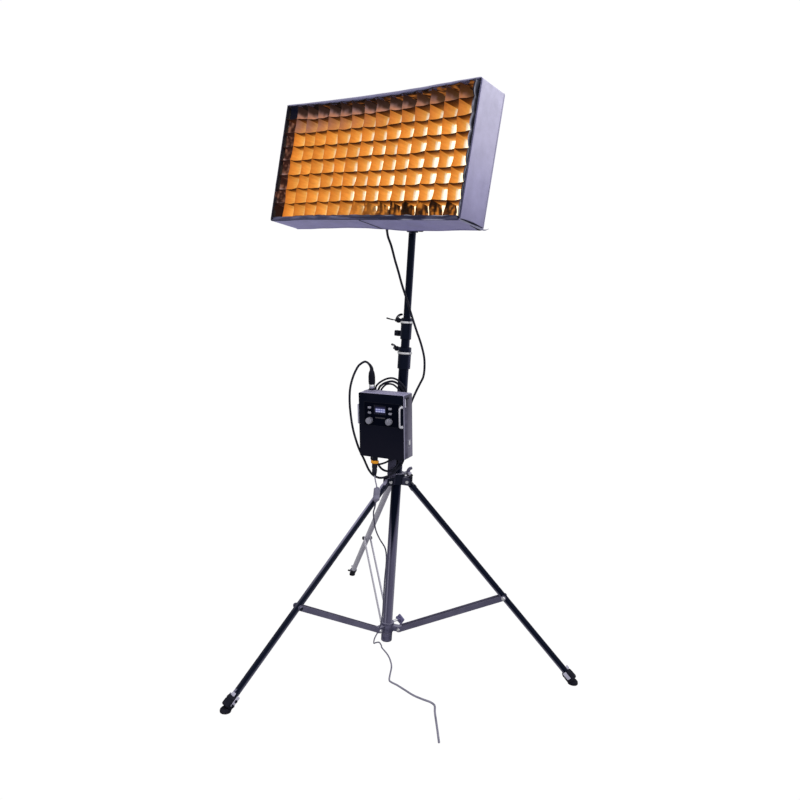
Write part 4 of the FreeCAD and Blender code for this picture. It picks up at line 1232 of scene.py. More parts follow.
def edge_cord(name, half_w, half_h, corner, y, radius, tint, lift=None):
    """Closed cord around a rounded rectangle; lift gives a shift in y at (x, z)."""
    seg = 8
    path = [Vector((x, y + (lift(x, z) if lift else 0.0), z))
            for x, z in outline(half_w, half_h, corner, 60, 32, 5)]
    count = len(path)
    verts, colours = [], []
    for i, point in enumerate(path):
        out = Vector((0, 1, 0))
        side = (path[(i + 1) % count] - path[i - 1]).normalized().cross(out).normalized()
        verts += [v * MM for v in circle(point, out, side, radius, seg)]
        colours += [tint(point)] * seg
    made = build(name, verts, bands(count, seg, loop=True), SHELL_CLOTH, PANEL)
    store_colours(made, "tint", colours)
    attach(made, "panel")


# Painted light and shade on the front piping: darker down the right side, dark navy with painted
# pale highlights along the bottom, dark on the left and lit pale lavender along the top.
FRONT_RIGHT = [(0.0, lin(70, 68, 100)), (1.0, lin(104, 102, 136))]


# The shell's painted light and shade, scaled darker.
def back_piping_tint(point):
    return shell_tint(point) * 0.86


def front_piping_tint(point):
    face = face_of(point.x, point.z)
    if face == 'right':
        return ramp((point.z + HALF_H) / (2 * HALF_H), FRONT_RIGHT)
    if face == 'low':
        share = ease(0.05, 0.35, noise(point * 0.02)) * ease(-50, 120, point.x)
        return lin(52, 52, 80).lerp(lin(150, 150, 172), share)
    return lin(34, 33, 50) if face == 'left' else lin(172, 170, 198)


edge_cord("back_edge_piping", HALF_W - 1.6, HALF_H - 1.6, 6, -0.6, 1.7, back_piping_tint)
edge_cord("front_edge_piping", HALF_W - 2.0, HALF_H - 2.0, 6, -DEPTH + 1.2, 1.6,
          front_piping_tint)

# Folded front lip: (share of its width, step back in y)
LIP = [(0.0, 0.0), (0.25, -0.7), (0.6, -0.3), (0.9, 1.0), (1.0, 4.5), (0.95, 12.0)]
LIP_WIDTHS = {'low': 11.0, 'left': 1.8, 'right': 4.0}


# Painted light and shade on the folded lip: lit lavender along the top, near black in shade on
# the right and left, navy with painted pale highlights along the bottom.
def lip_tint(face, share, x, z):
    if face == 'top':
        return lin(150, 147, 182).lerp(lin(96, 94, 130), share)
    if face == 'right':
        return lin(15, 15, 34).lerp(lin(6, 6, 14), share)
    if face == 'left':
        return lin(20, 19, 32)
    patch = rumple(x * 0.02, share * 2.0, z * 0.02) + 0.1 * math.sin(share * 9)
    light = ease(0.0, 0.4, patch) * (1 - 0.6 * ease(-100, 150, x))
    colour = lin(34, 35, 60).lerp(lin(112, 113, 142), light)
    return colour.lerp(lin(96, 94, 126), 0.45 * ease(200, -250, x))


def build_lip():
    lip_outline = outline(HALF_W - 2.5, HALF_H - 2.5, 5, *SHELL_COUNTS)
    x_in, z_in = HALF_W - 14, HALF_H - 14
    verts, colours = [], []
    for share, step in LIP:
        for x, z in lip_outline:
            face = face_of(x, z)
            inward = Vector((max(-x_in, min(x_in, x)) - x, 0, max(-z_in, min(z_in, z)) - z))
            inward = inward.normalized()
            ripple = rumple(x * 0.03, share * 3, z * 0.03)
            if face == 'top':
                width = 2.0 + 7.0 * max(0.0, 1 - (x / 340.0) ** 2)
            else:
                width = LIP_WIDTHS[face]
            y = -DEPTH + 1.4 + step * (1.6 if face == 'top' else 1.0) + 0.5 * ripple
            point = Vector((x, y, z)) + inward * (width * share + 0.8 * ripple * share)
            verts.append(point * MM)
            colours.append(lip_tint(face, share, x, z))
    lip = build("front_lip", verts, bands(len(LIP), len(lip_outline)), HEM, PANEL)
    store_colours(lip, "tint", colours)
    thicken(lip, 1.2)
    attach(lip, "panel")


build_lip()


def ribbon(name, stations, facing, width, thick, colour, material):
    """Flat band along the stations; width is a size or a function of 0 to 1."""
    path = spline(stations, 6)
    last = len(path) - 1
    verts = []
    for i, point in enumerate(path):
        way = tangent(path, i)
        normal = Vector(facing)
        normal = (normal - way * normal.dot(way)).normalized()
        side = way.cross(normal)
        wide = width(i / last) if callable(width) else width
        for across, out in ((-0.5, 0.5), (0.5, 0.5), (0.5, -0.5), (-0.5, -0.5)):
            verts.append((point + side * across * wide + normal * out * thick) * MM)
    faces = bands(len(path), 4)
    faces.append((0, 1, 2, 3))
    faces.append(tuple(last * 4 + s for s in (3, 2, 1, 0)))
    made = build(name, verts, faces, material, PANEL)
    store_colours(made, "tint", [Vector(colour)] * len(verts))
    orient(made)
    rounding = made.modifiers.new("b", "BEVEL")
    rounding.width = thick * 0.25 * MM
    rounding.segments = 2
    rounding.limit_method = 'ANGLE'
    shade(made, 40)
    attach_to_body(made, "panel")
    return made


# diagonal seam across the underside
ribbon("underside_seam",
       [(13, -104, -172.9), (10.5, -95, -172.4), (8, -61, -171.6), (9, -30, -171.9),
        (11, -3, -172.8)],
       (0, 0, -1), lambda u: 2.6 - 0.8 * u, 1.2, lin(26, 26, 50), HEM)
# open zip at the bottom right edge: dark band of painted shade in the gap, pale tape with its
# tail, dark band of painted shade in the gap
ribbon("zip_gap_side",
       [(344.9, -103, -168.0), (344.7, -70, -166.6), (344.6, -36, -165.8), (344.7, -6, -166.4)],
       (1, 0, 0), lambda u: 1.6 + 3.2 * math.sin(min(1.0, u * 1.15) * math.pi), 1.2,
       lin(15, 15, 36), HEM)
ribbon("zip_tape",
       [(345.0, -105, -171.2), (345.8, -74, -171.4), (346.2, -40, -171.8), (346.0, -8, -171.6),
        (349.5, 3.0, -170.0), (356, 9.0, -165.0)],
       (0.8, 0, -0.4), lambda u: 3.4 * (1 - 0.8 * ease(0.7, 1.0, u)), 1.0,
       lin(150, 149, 174), HEM)
ribbon("zip_gap_under",
       [(342.5, -56, -173.0), (341.0, -34, -173.1), (338.5, -16, -173.1), (336.0, -4, -173.0)],
       (0, 0, -1), lambda u: 0.8 + 5.0 * ease(0.0, 0.8, u), 1.2, lin(15, 15, 34), HEM)


# ------------------------------------------------- diffuser and lamp mat
def sheet(name, half_w, half_h, columns, rows, y_at, material, thickness, replaces):
    """Upright cloth sheet, with y given at each (x, z)."""
    verts, faces = [], []
    for i in range(columns + 1):
        for j in range(rows + 1):
            x = -half_w + 2 * half_w * i / columns
            z = -half_h + 2 * half_h * j / rows
            verts.append(Vector((x, y_at(x, z), z)) * MM)
    for i in range(columns):
        for j in range(rows):
            a = i * (rows + 1) + j
            faces.append((a, a + rows + 1, a + rows + 2, a + 1))
    made = build(name, verts, faces, material, PANEL)
    thicken(made, thickness)
    attach(made, "panel", replaces)


DIFFUSER_W, DIFFUSER_H = 339.0, 167.5       # half sizes
MAT_W, MAT_H, MAT_Y = 305.0, 152.5, -15.3   # half sizes and place


def diffuser_y(x, z):
    bulge = 2.0 * (1 - (x / DIFFUSER_W) ** 2) * (1 - (z / DIFFUSER_H) ** 2)
    return -51.4 + bulge + 0.5 * rumple(x * 0.01, 0, z * 0.01)


def mat_swell(x, z):
    return 0.9 * rumple(x * 0.012, 2.0, z * 0.012)


def mat_y(x, z):
    return MAT_Y + (mat_swell(x, z) + 0.25 * rumple(x * 0.05, 5.0, z * 0.05))


sheet("diffuser_sheet", DIFFUSER_W, DIFFUSER_H, 40, 20, diffuser_y, DIFFUSER, 0.8,
      "front_diffuser")
sheet("lamp_mat_sheet", MAT_W, MAT_H, 48, 24, mat_y, LAMP_MAT, 1.6, "led_mat")
edge_cord("lamp_mat_binding", MAT_W - 1, MAT_H - 1, 4, MAT_Y, 1.8,
          lambda point: Vector((0.02, 0.02, 0.028)), mat_swell)

# ---------------------------------------------------------------- cables
# Lead from the panel down to the control box
PANEL_LEAD = [
    (20, -138.6, 1306), (20, -132, 1288), (19.5, -115, 1264), (18, -94, 1227), (20, -77, 1193),
    (22, -60, 1157), (25, -39, 1118), (30, -20, 1076), (41, -5, 1030), (51, 11, 987),
    (57, 23, 947), (56, 30, 913), (52, 32, 885), (44, 28, 863), (37, 20, 838), (33, 10, 813),
    (33, -1, 790), (35, -10, 765)]
# first and last station of each length, station where its bend ends, bodies it joins
PANEL_LEAD_CUTS = [
    (0, 3, 3, "panel", "pan_head"),
    (3, 5, 5, "pan_head", "column_top"),
    (5, 7, 7, "column_top", "column_middle"),
    (7, 9, 9, "column_middle", "column_base"),
    (9, 17, 14, "column_base", "hub")]


def bend(made):
    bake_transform(made)


def build_panel_lead(samples=14):
    path = spline(metres(PANEL_LEAD), samples)
    for i, (first, last, bend_end, upper, lower) in enumerate(PANEL_LEAD_CUTS):
        made = tube("panel_lead_%d" % (i + 1), path[first * samples:last * samples + 1], 3.4,
                    CABLE, seg=14)
        bend(made)
    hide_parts("panel_cable")


build_panel_lead()

HANK = [
    (35, -10, 765), (38, -17, 738), (38, -19, 700), (34, -20, 662), (28, -24, 633),
    (25, -31, 616), (18, -42, 601), (7, -53, 595), (-5, -65, 600), (-16, -72, 613),
    (-23, -76, 631), (-34, -66, 634), (-46, -47, 640), (-52, -44, 668), (-53, -45, 720),
    (-54, -46, 780), (-55, -50, 822), (-50, -50, 844), (-40, -48, 855), (-29, -45, 862),
    (-11, -39, 868), (3, -32, 864), (13, -26, 855), (22, -21, 840), (33, -22, 812),
    (42, -23, 780), (45, -21, 735), (44, -18, 690), (38, -13, 655), (36, -15, 636),
    (32, -23, 615), (24, -35, 598), (8, -53, 580), (-10, -69, 573), (-30, -78, 579),
    (-44, -82, 592), (-54, -85, 608), (-61, -89, 624), (-67, -94, 638), (-73, -101, 656),
    (-78, -110, 681), (-83, -120, 713), (-88, -127, 750), (-93, -132, 798), (-95, -131, 841),
    (-91, -125, 877), (-84, -115, 906), (-78, -107, 917), (-71, -99, 923), (-66, -92, 921)]
hank = cord("control_lead_hank", HANK, 3.4, CABLE, "hub", samples=10, seg=14)
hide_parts("cable_coil")

SPARE_OUTER = [
    (-62, -52, 829), (-59, -55, 846), (-50, -53, 858), (-38, -48, 868), (-24, -44, 875),
    (-10, -40, 878), (2, -36, 876), (11, -31, 870), (21, -26, 860), (29, -21, 848),
    (38, -23, 822), (46, -27, 780), (51, -25, 735), (48, -25, 690), (36, -30, 656),
    (20, -37, 638), (9, -49, 629), (0, -64, 621), (-10, -77, 617), (-20, -83, 618),
    (-33, -84, 626), (-50, -68, 632), (-61, -50, 648), (-63, -50, 700), (-62, -51, 770)]
SPARE_INNER = [
    (-48, -44, 826), (-43, -46, 841), (-31, -43, 855), (-19, -40, 859), (-8, -36, 858),
    (2, -32, 852), (12, -27, 841), (20, -24, 822), (25, -25, 780), (27, -26, 725),
    (24, -30, 680), (10, -44, 655), (-14, -48, 652), (-34, -44, 664), (-44, -43, 700),
    (-47, -43, 770)]


def cable_loop(name, stations, radius, samples=10, seg=14):
    """Cable closed on itself, with the closing twist spread over the loop."""
    pts = metres(stations)
    total = len(pts)
    path = []
    for i in range(total):
        four = [pts[(i + k) % total] for k in (-1, 0, 1, 2)]
        path += [catmull(*four, s / samples) for s in range(samples)]
    count = len(path)
    ways = [(path[(i + 1) % count] - path[i - 1]).normalized() for i in range(count)]
    normal = ways[0].cross(Vector((0, 0, 1))).normalized()
    normals = []
    for way in ways:
        normal = (normal - way * normal.dot(way)).normalized()
        normals.append(normal.copy())
    last = (normals[-1] - ways[0] * normals[-1].dot(ways[0])).normalized()
    twist = math.atan2(ways[0].dot(last.cross(normals[0])), last.dot(normals[0]))
    verts = []
    for i, (point, way, normal) in enumerate(zip(path, ways, normals)):
        turned = Matrix.Rotation(twist * i / count, 3, way) @ normal
        verts += circle(point, turned, way.cross(turned), radius * MM, seg)
    made = build(name, verts, bands(count, seg, loop=True), CABLE)
    attach(made, "hub")


cable_loop("spare_lead_outer", SPARE_OUTER, 3.0)
cable_loop("spare_lead_inner", SPARE_INNER, 2.8)
tie = lathe("lead_tie", [(6.5, -5), (7.6, -4), (7.6, 4), (6.5, 5), (5.8, 4), (5.8, -4)],
            WEBBING, shift(-56, -47, 745), "hub", seg=32)
tie.scale = (1.5, 1.0, 1.0)

# power feed under the box: socket, coloured ring, connector, thin lead, inline adapter
feed = along((-15, -91, 646), (-14.5, -91.8, 618))
lathe("feed_socket", [(0, 0), (9.5, 0), (9.5, 4), (8.6, 5), (8.6, 15.5), (0, 15.5)],
      KNOB, feed, "hub", bevel=0.5)
lathe("feed_ring",
      [(8.2, 15.6), (11.6, 16.2), (12.2, 18.5), (12.2, 21.6), (11.4, 24.0), (8.2, 24.4)],
      ORANGE, feed, "hub", bevel=0.4)
connector = along((-14.5, -91.8, 622), (-8, -97.5, 584))
lathe("feed_connector",
      [(0, 0), (8.0, 0), (8.4, 2), (8.4, 14), (7.2, 15), (7.2, 17), (8.0, 18), (7.4, 27),
       (6.2, 33), (4.4, 38), (0, 38.5)], CABLE, connector, "hub", bevel=0.4)
RIB = [(6.4, 0), (7.4, 0.6), (7.4, 1.8), (6.4, 2.4), (5.4, 1.2)]
for i in range(4):
    lathe("feed_connector_rib_%d" % (i + 1), [(radius - i * 0.5, z) for radius, z in RIB],
          KNOB, connector @ shift(0, 0, 26 + 3.0 * i), "hub", seg=28)
cord("feed_thin_lead",
     [(-8.3, -97.2, 588), (-3, -101, 582), (6, -106.5, 571), (12, -109, 562),
      (14.9, -109.2, 553)], 2.0, CABLE_GREY, "hub", samples=14, seg=14)
adapter_place = along((15.5, -108.3, 557), (15.5, -111.5, 511))
adapter = lathe("adapter_body",
                [(0, 0), (4.6, 0.3), (5.4, 3.0), (9.2, 4.2), (9.9, 6.5), (9.9, 21.5),
                 (9.4, 22.3), (9.4, 23.7), (9.9, 24.5), (9.9, 38.5), (9.0, 41.0), (5.6, 42.6),
                 (4.6, 46), (0, 46.2)], ADAPTER, adapter_place, "hub", bevel=0.5)
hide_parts("lead_adapter")
lathe("adapter_lower_sleeve", [(9.95, 32.2), (10.7, 32.8), (10.7, 38.4), (9.95, 39.2)],
      CASE_SIDE, adapter_place, "hub", seg=40)

# Mains lead: hangs down along the column, then lies on the floor from station FLOOR_FROM; the
# length on the floor is painted lighter grey than the hanging length, as painted light
MAINS_LEAD = [
    (15.5, -111.6, 512), (13, -111.5, 494), (6, -108, 474), (2, -97, 443), (0, -85, 413),
    (1, -66, 381), (5, -42, 347), (5, -33, 318), (3, -29, 287), (1, -29, 237), (1, -29, 187),
    (3, -31, 131), (6, -39, 100), (4, -49, 72), (-8, -50, 44), (-24, -33, 16),
    (-36, -10, 4.5), (-32.3, 2.8, 3.0), (-15, -6, 2.6), (-1.8, -17.4, 2.6), (34, -35, 2.6),
    (64.6, -55.8, 2.6), (95.9, -85.5, 2.6), (123.6, -125.2, 2.6), (141.7, -149.7, 2.7),
    (153.8, -154.8, 2.7), (175.2, -155.1, 2.8), (207, -159, 2.8), (244, -163.5, 2.9),
    (274, -161, 2.9), (297, -157, 3.0), (312, -158.5, 3.0), (322, -165, 3.0),
    (339, -187, 3.1), (361, -212, 3.1), (386, -240, 3.2), (430, -290, 3.2)]
FLOOR_FROM = 13
MAINS_SAMPLES = 12
mains = spline(metres(MAINS_LEAD), MAINS_SAMPLES)
cut = FLOOR_FROM * MAINS_SAMPLES
hanging = tube("mains_lead_hanging", mains[:cut + 1], 2.2, CABLE_MID)
bend(hanging)
# painted light: the length on the floor is lighter grey than the hanging length
lying = tube("mains_lead_floor", mains[cut:],
             lambda u: 2.1 + 1.0 * max(0.0, min(1.0, (u - 0.1) / 0.7)),
             CABLE_GREY, "column_base")
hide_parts("power_lead")

# plug on top of the box
plug = BOX @ shift(-54.0, 16.5, 97.0)
flange = lathe("plug_flange",
               [(0, 0.1), (11.5, 0.1), (12.0, 0.8), (12.0, 2.2), (9.4, 3.0), (9.0, 6.8),
                (0, 6.8)], KNOB, plug, "hub", bevel=0.3)
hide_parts("signal_plug")
lathe("plug_ring", [(0, 6.9), (8.4, 6.9), (8.8, 7.6), (8.8, 17.2), (8.2, 18.3), (0, 18.3)],
      STEEL, plug, "hub", bevel=0.4)
lathe("plug_body",
      [(0, 18.4), (8.4, 18.4), (9.7, 19.6), (9.9, 24), (9.9, 44), (9.2, 52), (7.6, 57.5),
       (6.4, 60), (0, 60)], KNOB, plug, "hub", bevel=0.4)
for i in range(10):
    block("plug_body_rib_%d" % (i + 1), (1.6, 1.4, 20), KNOB,
          plug @ turn(36 * i, 'Z') @ shift(0, -9.7, 34), "hub", radius=0.5, seg=2)
cord("plug_strain_relief",
     [plug @ mm(0, 0, 58) / MM, plug @ mm(0, 0, 66) / MM, (-58.5, -84.5, 909), (-61, -87, 914),
      (-66, -92, 921)], lambda u: 6.2 - 2.9 * u, CABLE, "hub", samples=10, seg=16)


# ----------------------------------------------------------- control box
# All in the box's own frame: face at y = -28, right side at x = 75.
def box_blocks(table, seg=3):
    """Blocks from (name, size, material, centre, edge radius)."""
    for name, size, material, centre, radius in table:
        block(name, size, material, BOX, "hub", radius, seg, at=centre)


def box_spot(x, y, z, turned=90):
    """Frame on the box with local +Z to the front, or to the back when turned by -90."""
    return BOX @ shift(x, y, z) @ turn(turned, 'X')


box_blocks((
    ("display_bezel_top", (41.0, 1.4, 2.0), KNOB, (-2.5, -28.75, 62.3), 0.4),
    ("display_bezel_low", (41.0, 1.4, 2.0), KNOB, (-2.5, -28.75, 35.7), 0.4),
    ("display_bezel_left", (2.0, 1.4, 24.6), KNOB, (-22.0, -28.75, 49), 0.4),
    ("display_bezel_right", (2.0, 1.4, 24.6), KNOB, (17.0, -28.75, 49), 0.4),
    ("caption_strip", (33, 0.5, 3.6), PRINT, (-2.5, -28.3, 25.3), 0.15),
))
# raised bead around the glossy field
bead = [(GLOSS_X[0], GLOSS_Z[0]), (GLOSS_X[1], GLOSS_Z[0]),
        (GLOSS_X[1], GLOSS_Z[1]), (GLOSS_X[0], GLOSS_Z[1])]
box_blocks([
    ("face_bead_%d" % (i + 1), (abs(x1 - x0) + 1.2, 0.7, abs(z1 - z0) + 1.2), KNOB,
     ((x0 + x1) / 2, -28.3, (z0 + z1) / 2), 0.3)
    for i, ((x0, z0), (x1, z1)) in enumerate(zip(bead, bead[1:] + bead[:1]))])
for i, (x, z) in enumerate(((-69, 90), (69, 90), (-69, -90), (69, -90))):
    lathe("case_screw_%d" % (i + 1),
          [(0, 0), (3.0, 0), (2.6, 1.1), (1.1, 1.5), (1.1, 0.8), (0, 0.8)],
          KNOB, box_spot(x, -28.05, z), "hub", seg=24)
for name, x, z, body in (("left", -37, 15.5, "dial_l"), ("right", 29, 17, "dial_r")):
    dial = box_spot(x, -28.0, z)
    for i in range(18):
        block("dial_%s_grip_%d" % (name, i + 1), (1.3, 0.9, 8.0), DIAL,
              dial @ turn(20 * i, 'Z') @ shift(0, 9.35, 5.8), body, radius=0.35, seg=2)
    block("dial_%s_mark" % name, (0.9, 6.0, 0.5), PORT, dial @ shift(0, 4.6, 12.6), body,
          radius=0.15, seg=1)
HANDLE_ROD = [
    (69.5, -28.1, 63.0), (69.5, -33.0, 63.0), (69.3, -37.5, 62.4), (69.0, -40.4, 59.5),
    (69.0, -41.0, 54.0), (69.0, -41.2, 33.5), (69.0, -41.0, 13.0), (69.0, -40.4, 7.5),
    (69.3, -37.5, 4.6), (69.5, -33.0, 4.0), (69.5, -28.1, 4.0)]
rod = tube("handle_rod", spline([BOX @ mm(*station) for station in HANDLE_ROD], 8), 2.5,
           HANDLE, "hub", seg=20)
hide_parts("grab_handle")
for name, z in (("top", 63.0), ("low", 4.0)):
    lathe("handle_foot_" + name, [(2.6, 0), (4.6, 0), (4.6, 1.4), (3.4, 3.6), (2.6, 4.0)],
          HANDLE, box_spot(69.5, -28.0, z), "hub", seg=32, bevel=0.2)
box_blocks((
    ("left_rail", (7.0, 9.0, 60.0), RAIL, (-79.8, -19.0, 30.0), 1.8),
    ("left_rail_foot_top", (5.0, 6.0, 6.0), CASE_SIDE, (-76.2, -19.0, 56.0), 1.0),
    ("left_rail_foot_low", (5.0, 6.0, 6.0), CASE_SIDE, (-76.2, -19.0, 4.0), 1.0),
    ("side_latch_front", (1.8, 6.0, 26.0), RAIL, (75.9, -17.0, 74.0), 0.7),
    ("side_latch_rear", (1.8, 5.0, 24.0), KNOB, (75.9, -9.0, 76.0), 0.7),
    ("side_latch_bar", (2.6, 22.0, 4.0), KNOB, (76.4, -6.0, 86.0), 0.9),
    ("port_frame_left", (1.4, 2.0, 23.0), KEY, (75.7, -4.0, -52.0), 0.5),
    ("port_frame_right", (1.4, 2.0, 23.0), KEY, (75.7, 13.0, -52.0), 0.5),
    ("port_frame_top", (1.4, 19.0, 2.0), KEY, (75.7, 4.5, -40.6), 0.5),
    ("port_frame_low", (1.4, 19.0, 2.0), KEY, (75.7, 4.5, -63.4), 0.5),
    ("port_insert", (1.8, 7.0, 13.0), PORT, (77.2, 4.5, -49.0), 0.6),
))
box_blocks([("rear_vent_%d" % (i + 1), (70.0, 0.8, 2.2), KNOB, (0, 29.6, -36.0 + 12.0 * i), 0.3)
            for i in range(7)], seg=2)
box_blocks((
    ("top_socket_plate", (34.0, 30.0, 1.6), CASE_SIDE, (-54.0, 11.0, 97.9), 0.7),
    ("rear_plate", (118.0, 1.4, 150.0), CASE_SIDE, (0, 28.8, 0), 0.6),
))
for i, (x, z) in enumerate(((-54, 68), (54, 68), (-54, -68), (54, -68))):
    lathe("rear_screw_%d" % (i + 1), [(0, 0), (3.2, 0), (2.8, 1.2), (0, 1.6)],
          STEEL, box_spot(x, 29.5, z, turned=-90), "hub", seg=24)

# ------------------------------------------------- rings, stems and levers
RING = [(1.25, -3.4), (2.3, -2.9), (2.5, 0), (2.3, 2.9), (1.25, 3.4)]
for name, z, radius, body in (("upper", 1046.5, 16.6, "column_middle"),
                              ("lower", 954.0, 19.6, "column_base")):
    lathe(name + "_collar_ring", [(radius + out, up) for out, up in RING], STEEL,
          shift(0, 0, z), body, seg=64)
# name, azimuth, distance from the axis, height, length, body
STEMS = [
    ("tee", -90, 13.5, 1049.5, 9.5, "upper_tee"),
    ("square", -90, 13.5, 1010.8, 6.0, "upper_knob"),
    ("section", -90, 15.5, 964, 9.5, "section_knob"),
    ("hub", 173.8, 26.5, 566, 14.0, "hub_knob"),
    ("brace", 173.8, 23, 81.5, 19.0, "brace_knob")]
for name, azimuth, distance, z, length, body in STEMS:
    lathe("stem_sleeve_" + name, [(3.1, 0), (4.0, 0.4), (4.0, length - 0.4), (3.1, length)],
          STEEL, radial(azimuth, distance, z), body, seg=32)
cord("tee_lever_tip",
     [(-53, 0, 1049.5), (-60, -1.5, 1050.2), (-67, -4, 1051.5), (-74, -7, 1053)],
     lambda u: 1.9 + 0.5 * u, KNOB, "upper_tee")
cord("tee_upper_wing", [(-40, 0, 1052), (-37, 2, 1060), (-31, 4, 1066), (-23, 5, 1068)],
     lambda u: 4.4 - 1.2 * u, KNOB, "upper_tee", seg=16)
block("tee_glint", (8, 2.0, 2.2), PORT, shift(-30, -3.0, 1061) @ turn(-35, 'Y'), "upper_tee",
      radius=0.8)
cord("section_knob_lever", [(-34, 0, 965), (-38, -2, 970), (-43, -4, 973.5), (-49, -6, 975)],
     lambda u: 4.0 - 0.8 * u, KNOB, "section_knob", seg=16)
block("section_lever_glint", (7, 1.6, 1.8), PORT, shift(-41, -7.0, 973) @ turn(25, 'Y'),
      "section_knob", radius=0.6)
cord("hub_knob_lever", [(4.0, 50, 572), (4.5, 50.5, 579), (7.0, 53, 586), (12.5, 57.5, 589)],
     lambda u: 6.4 - 1.8 * u, PAINTED_LIGHT_CASTING, "hub_knob", seg=20)
lathe("hub_top_washer",
      [(16.2, 579.2), (25.6, 579.2), (26.2, 579.8), (26.2, 581.4), (25.0, 582.0),
       (16.2, 582.0)], CASTING, WORLD, "hub", seg=64, bevel=0.3)
block("hub_knob_block", (24, 12, 10), RAIL, shift(3.5, 50, 571), "hub_knob", radius=3.0)
lathe("hub_side_ball", [(0, -6), (3.6, -4.8), (5.8, -1.6), (5.8, 1.6), (3.6, 4.8), (0, 6)],
      KNOB, shift(44, 13, 572), "hub", seg=32)
block("brace_knob_wing", (27, 8, 25), PAINTED_LIGHT_KNOB, shift(6.2, 57, 79.5) @ turn(32, 'Y'),
      "brace_knob", radius=3.4)

# ------------------------------------------------------- leg rivets and feet
# Leg line from its top (distance from the axis, height) down to the floor
LEG_TOP_OUT, LEG_TOP_Z, LEG_FOOT_OUT = 37, 557.5, 602.4
RIVET_SHARE = 0.5748                        # how far down the leg the rivets sit
LEG_RUN = LEG_FOOT_OUT - LEG_TOP_OUT
RIVET_OUT, RIVET_Z = LEG_TOP_OUT + RIVET_SHARE * LEG_RUN, LEG_TOP_Z * (1 - RIVET_SHARE)
leg_line = Vector((0, -LEG_RUN, -LEG_TOP_Z))
LEG_LENGTH = leg_line.length
RIVET_MATERIALS = (CASTING, STEEL, KNOB)
# boot: (radius, distance short of the leg's end); pad: (radius, height)
BOOT = [(13.2, 51), (15.2, 47), (16.2, 43), (16.2, 40.6), (15.5, 40), (15.5, 37), (16.3, 36.4),
        (16.6, 24), (15.8, 20.6), (12.0, 18.6), (0, 18.0)]
PAD = [(0, 0.2), (13.0, 0.2), (15.0, 1.2), (15.6, 4.0), (14.6, 9.0), (11.0, 13.0), (0, 13.5)]


def build_rivets(index, name, leg, body):
    for side, letter in ((-1, "a"), (1, "b")):
        lathe("leg_rivet_%s_%s" % (name, letter),
              [(0, -1.5), (6.4, -1.5), (6.4, 0.4), (4.8, 2.6), (0, 3.6)],
              RIVET_MATERIALS[index],
              leg @ shift(side * 15.3, -RIVET_OUT, RIVET_Z) @ turn(90 * side, 'Y'),
              body, seg=32, bevel=0.3)


def build_foot(name, leg, body):
    """Boot, pad, tube end, straps and toe lever; the rear foot is smaller."""
    end = LEG_LENGTH
    tip = leg @ shift(0, -LEG_TOP_OUT, LEG_TOP_Z) @ aim(leg_line.normalized())
    size = 0.72 if name == "rear" else 1.0
    boot = lathe("foot_boot_" + name,
                 [(9.6, end - 52)] + [(radius * size, end - short) for radius, short in BOOT],
                 RUBBER, tip, body, seg=44, bevel=0.4)
    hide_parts("foot_" + name)
    lathe("foot_pad_" + name, [(radius * size, z) for radius, z in PAD], RUBBER,
          leg @ shift(0, -591.0, 0), body, seg=44, bevel=0.4)
    lathe("foot_tube_end_" + name,
          [(8.6, end - 70), (9.5, end - 70), (9.5, end - 50), (8.6, end - 50)],
          LEG_PAINT[name], tip, body, seg=44)
    for i, (side, length) in enumerate(((1, 30), (-1, 24))):
        block("foot_strap_%s_%d" % (name, i + 1), (2.0, 11 * size, length * size), RAIL,
              tip @ shift(side * 15.9 * size, -1, end - 42), body, radius=0.9)
    block("foot_strap_bridge_" + name, (14 * size, 4, 10 * size), RAIL,
          tip @ shift(5.0, 11.2, end - 55), body, radius=1.6)
    lathe("foot_strap_screw_" + name, [(0, 0), (4.2, 0), (4.2, 2.2), (3.2, 3.2), (0, 3.2)],
          KNOB, tip @ shift(16.6 * size, -1, end - 44) @ turn(90, 'Y'), body, seg=28, bevel=0.3)
    lever = [(15.5 * size, 1, end - 33), (21 * size, 3, end - 30), (26 * size, 5, end - 31)]
    tube("foot_lever_" + name, spline([tip @ mm(*station) for station in lever], 8),
         lambda u: 2.0 + 1.6 * u, KNOB, body, seg=16)


for i, name in enumerate(LEGS):
    leg = turn(FIRST_LEG + 120 * i, 'Z')
    build_rivets(i, name, leg, "leg_" + name)
    build_foot(name, leg, "leg_" + name)


